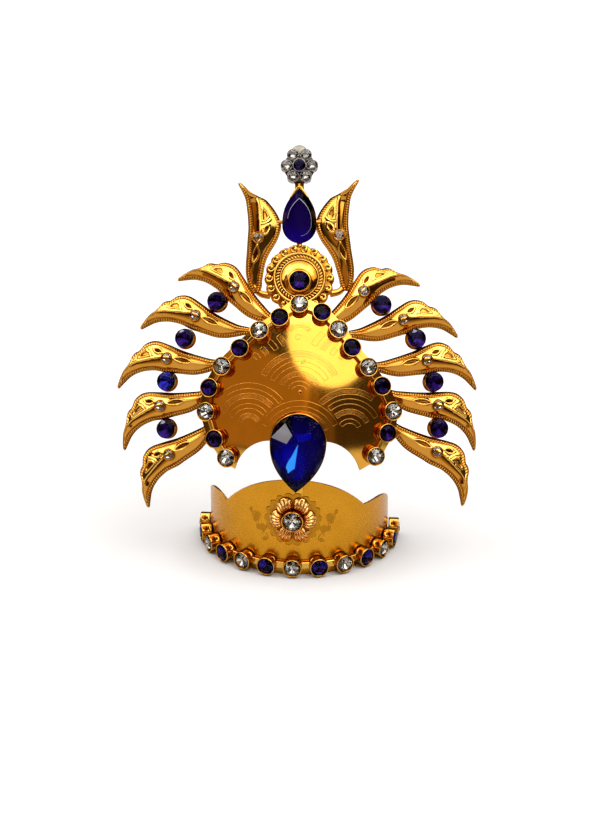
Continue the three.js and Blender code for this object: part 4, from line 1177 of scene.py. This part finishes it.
def leaf_drawing(leaf):
    """Raised wires and sunk cells, as shares of their height and depth."""
    spots = np.stack([leaf.x.ravel(), leaf.y.ravel()], -1)
    wire, sunk = np.zeros(len(spots)), np.zeros(len(spots))
    for cell, depth in LEAF_CELLS:
        gap = distance_to(spots, cell, closed=True)
        wire = np.maximum(wire, rounded_wire(gap, 0.32))
        sunk = np.maximum(sunk, depth * inside(cell, spots) * smooth_step(0.1, 0.35, gap))
    for vein in LEAF_VEINS:
        wire = np.maximum(wire, 0.9 * rounded_wire(distance_to(spots, vein), 0.34))
    return wire.reshape(leaf.x.shape) * leaf.inner, sunk.reshape(leaf.x.shape) * leaf.inner


def leaf_shade(leaf, wire, sunk, painted_field_shade, painted_root_shade):
    """Tint of a leaf's face: painted shade where the stamping is deep, under the ridge and the stone, at the
    root, on the lower field and on an upright's field turned from the light.
    """
    x, over, near, inner = leaf.x, leaf.over, leaf.near, leaf.inner
    below, above = over < -PLANK["half"], over > PLANK["half"]
    rope = np.where(leaf.on_low, PAINTED_SHADE["low_rope"], PAINTED_SHADE["high_rope"]) * (1 - leaf.rib) ** 0.9
    # Painted shadow in the hollow under the ridge
    ridge_shadow_wide = np.interp(x, RIDGE_SHADOW_X, RIDGE_SHADOW_WIDE)
    hollow = np.clip(1.25 - (-over - PLANK["half"]) / ridge_shadow_wide, 0, 1) ** 0.5
    painted_stone_shade = np.clip(1 - (np.hypot(x, leaf.y) - 1.9) / 1.1, 0, 1) * (over < 0.3)
    on_field = inner * above * smooth_step(-4, 0, x) * (1 - smooth_step(10, 13, x))
    # Painted shade, term by term: rope gaps, outline, cells, shadow under the ridge, grooves, root, round the
    # stone, the field, the lower field
    shade = np.maximum.reduce([
        rope * (near > 0.2) * (near < LEAF_INNER),
        PAINTED_SHADE["outline"] * np.clip(1.3 - near / 0.25, 0, 1),
        PAINTED_SHADE["cell"] * sunk,
        hollow * below * leaf.steep * inner,
        PAINTED_SHADE["groove"] * leaf.groove,
        painted_root_shade * (1 - smooth_step(-5, -2, x)) * inner,
        PAINTED_SHADE["stone"] * painted_stone_shade,
        painted_field_shade * on_field,
        PAINTED_SHADE["low_field"] * inner * below,
    ])
    return np.clip(shade * (1 - PAINTED_SHADE["wire"] * wire), 0, 1)


def leaf_relief(edge_table, painted_field_shade, painted_root_shade):
    """Stamped leaf before its curl: points of the face and the plain back as one net, and their tint."""
    leaf = leaf_net(edge_table)
    wire, sunk = leaf_drawing(leaf)
    z = SHEET / 2 + leaf_roof(leaf) + leaf_rope(leaf) + STAMP["wire"] * wire - STAMP["cell"] * sunk
    face = np.stack([leaf.x, leaf.y, z], -1)
    share = np.linspace(1, 0, LEAF_NET["back"])[1:-1]
    rise = leaf_body(leaf.along) * (1 - np.abs(2 * share - 1) ** LEAF_RIDGE["power"])
    back_y = leaf.low + (leaf.high - leaf.low) * share
    back = np.stack([leaf.x[:, :len(share)], back_y, rise - SHEET / 2], -1)
    shade = leaf_shade(leaf, wire, sunk, painted_field_shade, painted_root_shade)
    tint = np.concatenate([shade, np.full(back_y.shape, PAINTED_SHADE["back"])], 1)
    return np.concatenate([face, back], 1), tint


# The last two numbers are the painted shade on the field, turned from the light on an upright leaf, and at
# the root
FAN_LEAF = leaf_relief(LEAF_EDGE, 0.0, 0.2)
UPRIGHT_LEAF = leaf_relief(UPRIGHT_EDGE, 0.08, 0.1)
# Stem from the root of an upright leaf to the rosette
UPRIGHT_STEM = np.array([(-14.0, -3.2, -0.9), (-16.6, -2.7, -0.9), (-18.1, -1.2, -0.7), (-18.9, 1.2, -0.3)])
STEM = {"steps": 19, "root": 0.9, "end": 1.25, "sides": 12, "tint": 0.3}
LEAF_CUP = {"radius": 1.95, "foot": 1.6, "rim": 3.25}
LEAF_CUP_COLUMNS = 36
LEAF_GEM = {"radius": 1.58, "table": 0.9, "girdle": 3.2, "top": 3.65, "depth": 0.6}
LEAF_GEM_TURN = 0.3  # for each millimetre that the leaf stands out


def leaf_place(side, u, v, n, angle, tilt):
    turn = math.radians(angle) if side > 0 else math.pi - math.radians(angle)
    lean = math.radians(tilt)
    x = np.array([math.cos(turn) * math.cos(lean), math.sin(turn) * math.cos(lean), -math.sin(lean)])
    y = np.array([-math.sin(turn), math.cos(turn), 0])
    return placed((side * u, v, n), np.cross(x, y), x, lean_to_world)


def add_stem(form, place, side):
    spots = UPRIGHT_STEM * np.array([1, side, 1])
    steps = np.linspace(0, len(spots) - 1, STEM["steps"])
    path = np.stack([through(np.arange(len(spots)), spots[:, k], steps) for k in range(3)], -1)
    stem = tube(path, np.linspace(STEM["root"], STEM["end"], STEM["steps"]), STEM["sides"])
    form.put(place, stem, tint=STEM["tint"])


def make_leaf(name, side, u, v, n, angle, tilt, curl):
    place = leaf_place(side, u, v, n, angle, tilt)
    upright = "upright" in name
    stamped, shade = UPRIGHT_LEAF if upright else FAN_LEAF
    points = stamped.copy()
    points[..., 1] -= curl * points[..., 0] ** 2 / LEAF_LENGTH
    points[..., 1] *= side
    faces = capped(*shade.shape)
    form = Form()
    form.put(place, (points, flipped(faces) if side > 0 else faces), tint=shade)
    if upright:
        add_stem(form, place, side)
    r, low, rim = LEAF_CUP["radius"], LEAF_CUP["foot"], LEAF_CUP["rim"]
    # Collet rows: radius, height, tint; the tints are painted shade, darkest at the foot and inside
    cup = [(r + 0.12, low, 0.9), (r + 0.08, low + 0.5, 0.85), (r - 0.02, rim - 0.25, 0.75),
           (r - 0.08, rim - 0.06, 0.6), (r - 0.2, rim, 0.5), (r - 0.34, rim - 0.05, 0.7),
           (r - 0.42, rim - 0.3, 0.85), (r - 0.42, low + 0.2, 0.95)]
    add_turned(form, place, cup, LEAF_CUP_COLUMNS)
    form.make(f"leaf_{name}", [BRIGHT_GOLD], "gold_metal", [f"feather_{name}"])
    make_stone(f"leaf_gem_{name}", place, LEAF_GEM, CLEAR, turn=LEAF_GEM_TURN * u)


# Spacer stones

# Shade is painted shade that darkens the collet's wall, which would show a bright rim at a grazing view;
# flare widens its foot, turn turns the stone
SPACER = {"shade": 0.8, "flare": 0.45, "turn": 0.35}
ROYAL_SPACER = "left_3"
# Spacers with a crown facet painted pale as a glint, and its main
PAINTED_GLINT_SPACERS = {"left_2": 2, "left_4": 2, "right_2": 2}


def make_spacer(name, side, u, v, n, facing):
    face = math.radians(facing) if side > 0 else math.pi - math.radians(facing)
    normal = np.array([math.cos(face) * math.tan(SPACER_TILT), math.sin(face) * math.tan(SPACER_TILT), 1])
    place = placed((side * u, v, n), normal, (1, 0, 0), lean_to_world)
    form = Form()
    add_cup(form, place, SPACER_CUP, shade=SPACER["shade"], flare=SPACER["flare"])
    form.make(f"spacer_collet_{name}", [BRIGHT_GOLD], "gold_metal", [f"spacer_cup_{name}"])
    make_stone(f"spacer_gem_{name}", place, SPACER_STONE, ROYAL if name == ROYAL_SPACER else BLUE,
               [f"spacer_stone_{name}"], SPACER["turn"], PAINTED_GLINT_SPACERS.get(name))


# Crest

ROSETTE = {"radius": 11.4, "lobes": 18, "columns": 216, "dip": 0.05, "rise": 0.7}
BOSS_DROP = np.array([0, -1.2, 0])
# Direction of the boss's lit side; painted shade grows towards the other side
BOSS_LIT = math.radians(120)  # bright side of the boss
# Rows: share of the radius, height, share of the boss's drop, tint, more tint on the dark side. The tints are
# painted shade under the scrolls and rings and round the bezel, with more of it on the side turned from the
# light
ROSETTE_ROWS = np.array([
    (1.0, 0.0, 0, 0.5, 0), (0.985, 0.9, 0, 0.45, 0), (0.93, 1.2, 0, 0.55, 0), (0.8, 1.25, 0, 0.75, 0),
    (0.75, 1.5, 0, 0.7, 0), (0.56, 1.55, 0.1, 0.9, 0), (0.52, 1.7, 0.2, 0.7, 0.3),
    (0.48, 1.95, 0.4, 0.25, 0.6), (0.44, 2.2, 0.5, 0, 0.75), (0.4, 2.38, 0.7, 0, 0.75),
    (0.36, 2.5, 0.8, 0.2, 0.7), (0.345, 2.6, 1, 0.6, 0.4), (0.335, 3.1, 1, 0.4, 0.2),
    (0.31, 3.2, 1, 0.1, 0.2), (0.29, 3.3, 1, 0.5, 0.2), (0.28, 2.8, 1, 0.8, 0.2), (0.28, 1.8, 1, 0.95, 0.2),
])
SCALLOPED_ROWS = 3
# Scrolls of the edge, each a curl that ends in a bead
SCROLL = spiral((9.95, 0), 205, -0.92, 1.25, 0.5, 22)
SCROLL_HIGH = np.linspace(1.35, 1.75, len(SCROLL))
SCROLL_THICK = np.linspace(0.32, 0.46, len(SCROLL))
SCROLL_BEAD = {"z": 1.55, "across": 0.68, "high": 0.7}
# Plain rings. Columns: radius, height, thickness
ROSETTE_RINGS = [(8.15, 1.85, 0.42), (6.15, 1.8, 0.22), (5.2, 1.85, 0.16)]
# Slanted ribs of the rope ring
RIB = {"count": 44, "inner": 6.4, "long": 1.35, "slant": 0.12, "z": 1.65, "arch": 0.1, "thick": 0.27}
ROSETTE_STONE = {"radius": 3.15, "table": 1.9, "girdle": 3.25, "top": 4.4, "depth": 1.4}


def add_scrolls(form, place):
    x, y = SCROLL.T
    for turn in round_angles(ROSETTE["lobes"]):
        c, s = math.cos(turn), math.sin(turn)
        path = np.stack([x * c - y * s, x * s + y * c, SCROLL_HIGH], -1)
        form.put(place, tube(path, SCROLL_THICK, 10))
        foot = (path[-1, 0], path[-1, 1], SCROLL_BEAD["z"])
        form.put(place, bead(foot, SCROLL_BEAD["across"], SCROLL_BEAD["high"], 14, 6))


def make_rosette():
    place = crest_place(ROSETTE["rise"])
    form = Form()
    angles = round_angles(ROSETTE["columns"])
    lobe = np.abs(np.cos(angles * ROSETTE["lobes"] / 2))
    share, heights, sink, tint, more = ROSETTE_ROWS.T
    dip = ROSETTE["dip"] * (1 - lobe) * (np.arange(len(share)) < SCALLOPED_ROWS)[:, None]
    points, faces = turned(ROSETTE["radius"] * share[:, None] * (1 - dip), heights, len(angles))
    # Painted shade: more tint the further a column turns from the boss's lit side
    away = 0.5 - 0.5 * np.cos(angles - BOSS_LIT)
    tint = np.clip(tint[:, None] + more[:, None] * away, 0, 1)
    form.put(place, (points + sink[:, None, None] * BOSS_DROP, faces), tint=tint)
    add_scrolls(form, place)
    for radius, z, thick in ROSETTE_RINGS:
        form.put(place, tube(polar(radius, round_angles(120), z), thick, 12, closed=True))
    t = np.linspace(0, 1, 7)
    rib_thick = RIB["thick"] * np.sqrt(np.clip(1.02 - (2 * t - 1) ** 4, 0.1, 1))
    for turn in round_angles(RIB["count"]):
        path = polar(RIB["inner"] + RIB["long"] * t, turn + RIB["slant"] * t,
                     RIB["z"] + RIB["arch"] * np.sin(math.pi * t))
        form.put(place, tube(path, rib_thick, 8))
    form.make("rosette_boss", [BRIGHT_GOLD], "gold_metal", ["rosette"])
    boss = crest_place(ROSETTE["rise"] + BOSS_DROP[1])
    make_stone("rosette_gem", boss, ROSETTE_STONE, BLUE, ["rosette_stone"], 0.2)


# Strips along the crest: the neck above the top drop and the lug below it
NECK = {"half": 1.5, "from": 28.0, "to": 37.7}
LUG = {"half": 0.9, "from": 11.2, "to": 14.0}
# Their tint is painted shade that dims the strips' bright reflection
STRIP = {"thick": 1.3, "corner": 0.45, "sides": 24, "rows": 8, "tint": 0.4}
TOP_COLUMNS = 96
TOP_TIP = TOP_DROP_Y + TOP_PEAR["tip"]
# Rows of the pear's rings: share, growth, height
TRAY_ROWS = [(1, -0.5, 0), (1, -0.32, 0.15), (1, -0.3, 1.0), (1, -0.35, 1.25), (1, -0.5, 1.35)]
DOME_ROWS = [
    (1, -0.1, 1.6), (1, 0, 1.8), (1, 0, 2.3), (0.99, 0, 2.5), (0.965, 0, 2.75), (0.9, 0, 3.22),
    (0.83, 0, 3.72), (0.76, 0, 4.22), (0.735, 0, 4.38), (0.715, 0, 4.47), (0.695, 0, 4.52), (0.67, 0, 4.55),
    (0.58, 0, 4.6), (0.48, 0, 4.65), (0.36, 0, 4.7), (0.24, 0, 4.73), (0.12, 0, 4.75), (0.03, 0, 4.76),
]
# Thin ring on the dome's shoulder, drawn only on the right and towards the tip and painted pale: a painted
# highlight line
PAINTED_HIGHLIGHT_ROWS = [(0.7, 0, 4.53), (0.69, 0, 4.58), (0.678, 0, 4.6)]
TOP_BED_ROWS = [(share, 0, 1.95) for share in (0.02, 0.2, 0.4, 0.6, 0.8, 0.99)]
TOP_BED_SLOPE = 0.046
# Heights where the bed's painted glow begins and where it is full, the foil painted lighter towards the round
# end
TOP_BED_PAINTED_GLOW = (TOP_DROP_Y + 1.5, TOP_DROP_Y - 4.5)
# Chevron over the tip and pin at the side, each for the right side
CHEVRON = np.array([(0, TOP_TIP + 0.9, 2.5), (1.5, TOP_TIP - 1.2, 2.4), (3.0, TOP_TIP - 3.4, 2.0)])
PIN = np.array([(4.8, TOP_DROP_Y + 1.6, 0.7), (7.2, TOP_DROP_Y + 1.6, 0.7)])


def rounded_strip(half, low, high):
    """Bar with rounded corners along +Y."""
    x, z = rounded_section(half, STRIP["thick"], min(STRIP["corner"], half / 2), STRIP["sides"])
    steps = np.linspace(low, high, STRIP["rows"])
    points = np.stack([np.stack([x, y + 0 * x, z], -1) for y in steps])
    return points, flipped(capped(STRIP["rows"], STRIP["sides"]))


def top_rings(rows):
    """Rings of the top pear, tip up."""
    angles = round_angles(TOP_COLUMNS)
    spots = [np.array([0, TOP_DROP_Y]) - pear_spot(TOP_PEAR, angles, grow) * share for share, grow, _ in rows]
    ring = [level(flat, z) for flat, (_, _, z) in zip(spots, rows)]
    return np.stack(ring), capped(len(rows), TOP_COLUMNS)


def along_path(corners, count):
    """Points at even steps along straight stretches."""
    steps = np.linspace(0, len(corners) - 1, count)
    return np.stack([np.interp(steps, range(len(corners)), corners[:, k]) for k in range(3)], -1)


def make_top_drop():
    place = crest_place()
    form = Form()
    form.put(place, top_rings(TRAY_ROWS))
    for strip in (NECK, LUG):
        form.put(place, rounded_strip(strip["half"], strip["from"], strip["to"]), tint=STRIP["tint"])
    mirrors = np.array([(-1, 1, 1), (1, 1, 1)])
    for mirror in mirrors:
        form.put(place, tube(along_path(CHEVRON * mirror, 9), np.linspace(0.65, 0.35, 9), 8))
    for mirror in mirrors:
        form.put(place, tube(along_path(PIN * mirror, 7), np.linspace(0.75, 0.5, 7), 10), tint=0.3)
    form.make("top_drop_tray", [BRIGHT_GOLD], "gold_metal", ["top_drop_setting"])
    form = Form()
    points, faces = top_rings(DOME_ROWS)
    form.put(place, (points, faces[:-2] + faces[-1:]))
    points, faces = top_rings(PAINTED_HIGHLIGHT_ROWS)
    flat = points.reshape(-1, 3)
    # Painted highlight line: only these faces of the ring are kept, in the pale finish
    painted_highlight = [face for face in faces[:-2] if flat[face[0], 0] > 0.5 or flat[face[0], 1] > TOP_DROP_Y + 2]
    form.put(place, (points, painted_highlight), finish=PAINTED_GLINT_FINISH)
    points, faces = top_rings(TOP_BED_ROWS)
    points[..., 2] -= TOP_BED_SLOPE * (points[..., 1] - TOP_DROP_Y)
    # Painted glow: the foil is lighter towards the round end
    glow = smooth_step(*TOP_BED_PAINTED_GLOW, points[..., 1])
    form.put(place, (points, faces[:-1]), finish=BACK_FINISH, tint=1 - glow)
    form.make("top_drop_gem", [CABOCHON_GLASS, NIGHT_FOIL, PAINTED_GLINT_FACET], "blue_stone", ["top_drop_stone"])


FINIAL_CUP = {"radius": 2.0, "wall": 0.25, "height": 2.5}
FINIAL_STONE = {"radius": 1.8, "table": 1.0, "girdle": 2.5, "top": 3.1, "depth": 0.8}
CLAW = {"count": 4, "ring": 1.72, "z": 2.3, "across": 0.34, "high": 0.55}
CENTRE_CUP = {"radius": 2.2, "wall": 0.35, "height": 3.0}
CENTRE_STONE = {"radius": 2.05, "table": 1.2, "girdle": 3.0, "top": 3.6, "depth": 1.5}
# Plate under the flower. Rows: radius, height, tint; the tint is painted shade under the flower
FINIAL_PLATE = [(4.7, 0, 0.85), (5.1, 0.15, 0.85), (5.1, 0.85, 0.85), (4.7, 1.0, 0.85)]
FINIAL_BACK = {"y": 4.6, "z": -0.1, "across": 2.9, "high": 1.1}


def shifted(place, shift):
    return lambda points: place(np.asarray(points) + shift)


def make_finial():
    settings, stones = Form(), Form()
    centre = crest_place(FINIAL["y"], FINIAL["z"])
    for i, turn in enumerate(round_angles(FINIAL["petals"])):
        place = shifted(centre, polar(FINIAL["ring"], turn, 0))
        add_cup(settings, place, FINIAL_CUP, 36)
        for claw in turn + round_angles(CLAW["count"]) + TAU / CLAW["count"] / 2:
            settings.put(place, bead(polar(CLAW["ring"], claw, CLAW["z"]), CLAW["across"], CLAW["high"]))
        add_stone(stones, place, FINIAL_STONE, turn=0.35 * i)
    add_turned(settings, centre, FINIAL_PLATE, 72)
    add_cup(settings, centre, CENTRE_CUP, 36)
    settings.make("finial_cups", [SILVER], "silver_metal", ["finial_flower"])
    stones.make("finial_gems", [CLEAR_GLASS, SMOKY_FOIL], "clear_stone")
    make_stone("finial_gem_centre", centre, CENTRE_STONE, BLUE, ["finial_centre_stone"])
    dome = Form()
    place = crest_place(FINIAL["y"] + FINIAL_BACK["y"], FINIAL["z"] + FINIAL_BACK["z"])
    dome.put(place, bead((0, 0, 0), FINIAL_BACK["across"], FINIAL_BACK["high"], 48, 10, 0.47))
    dome.make("finial_back", [BEIGE], "silver_metal")


make_band()
make_band_lace()
make_band_chain()
make_band_flower()
make_shield()
make_border()
make_front_drop()
for leaf in LEAVES:
    make_leaf(*leaf)
for spacer in SPACERS:
    make_spacer(*spacer)
make_rosette()
make_top_drop()
make_finial()


# Studio, in metres

LAMP_TARGET = Vector((0, -0.02, 0.06))
WHITE, AMBER = (1, 1, 1), (1, 0.55, 0.15)
# Columns: name, azimuth to the right of the camera, elevation, distance, width, height, glow, colour, shape
LAMPS = [
    ("top_light", 180, 84, 2.0, 3.0, 3.0, 3.1, WHITE, "RECTANGLE"),
    ("key_light", 27, 51, 1.1, 0.92, 0.87, 2.9, WHITE, "ELLIPSE"),
    ("left_top_light", -85, 50, 1.3, 1.0, 1.0, 3.0, WHITE, "RECTANGLE"),
    ("right_top_light", 82, 52, 1.3, 1.0, 0.9, 2.8, WHITE, "RECTANGLE"),
    ("left_fill", -24, 22, 1.2, 1.2, 1.0, 0.43, AMBER, "RECTANGLE"),
    ("centre_fill", 7.3, 21, 1.2, 0.16, 1.0, 0.27, AMBER, "RECTANGLE"),
    ("right_fill", 15.3, 20, 1.2, 0.17, 1.0, 0.13, AMBER, "RECTANGLE"),
]
SURROUND = (0.07, 0.047, 0.027, 1)
FLOOR = {"half": 4.0, "rows": 9, "z": -0.00005}


def add_object(name, data):
    thing = bpy.data.objects.new(name, data)
    bpy.context.scene.collection.objects.link(thing)
    return thing


def aim(thing, spot, target):
    thing.location = spot
    thing.rotation_euler = (Vector(target) - Vector(spot)).to_track_quat("-Z", "Y").to_euler()


def soft_box(name, azimuth, elevation, distance, width, height, glow, colour, shape):
    """Wide lamp that faces the crown. Its glow is its brightness, so a wider lamp gives more light."""
    light = bpy.data.lights.new(name, "AREA")
    light.shape = shape
    light.size = width
    light.size_y = height
    light.energy = glow * math.pi * width * height * (math.pi / 4 if shape == "ELLIPSE" else 1)
    light.color = colour
    a, e = math.radians(azimuth), math.radians(elevation)
    away = Vector((math.sin(a) * math.cos(e), -math.cos(a) * math.cos(e), math.sin(e)))
    aim(add_object(name, light), LAMP_TARGET + distance * away, LAMP_TARGET)


def make_floor():
    x, y = np.meshgrid(*[np.linspace(-FLOOR["half"], FLOOR["half"], FLOOR["rows"])] * 2)
    mesh = bpy.data.meshes.new("floor")
    points = level(np.stack([x.ravel(), y.ravel()], -1), FLOOR["z"])
    mesh.from_pydata(points.tolist(), [], net(FLOOR["rows"], FLOOR["rows"]))
    mesh.materials.append(floor_finish())
    add_object("floor", mesh)


def make_camera():
    data = bpy.data.cameras.new("camera")
    data.sensor_fit = "VERTICAL"
    data.angle = CAMERA["fov"]
    data.clip_start = 0.01
    camera = add_object("camera", data)
    spot, target = (lean_to_world((CAMERA["u"], CAMERA["v"], n)) * MM for n in (CAMERA["n"], 0))
    aim(camera, spot.tolist(), target.tolist())
    bpy.context.scene.camera = camera


make_floor()
world = bpy.data.worlds.new("studio")
bpy.context.scene.world = world
world.use_nodes = True
world.node_tree.nodes["Background"].inputs["Color"].default_value = SURROUND
for lamp in LAMPS:
    soft_box(*lamp)
make_camera()
bpy.context.scene.view_settings.view_transform = "Standard"
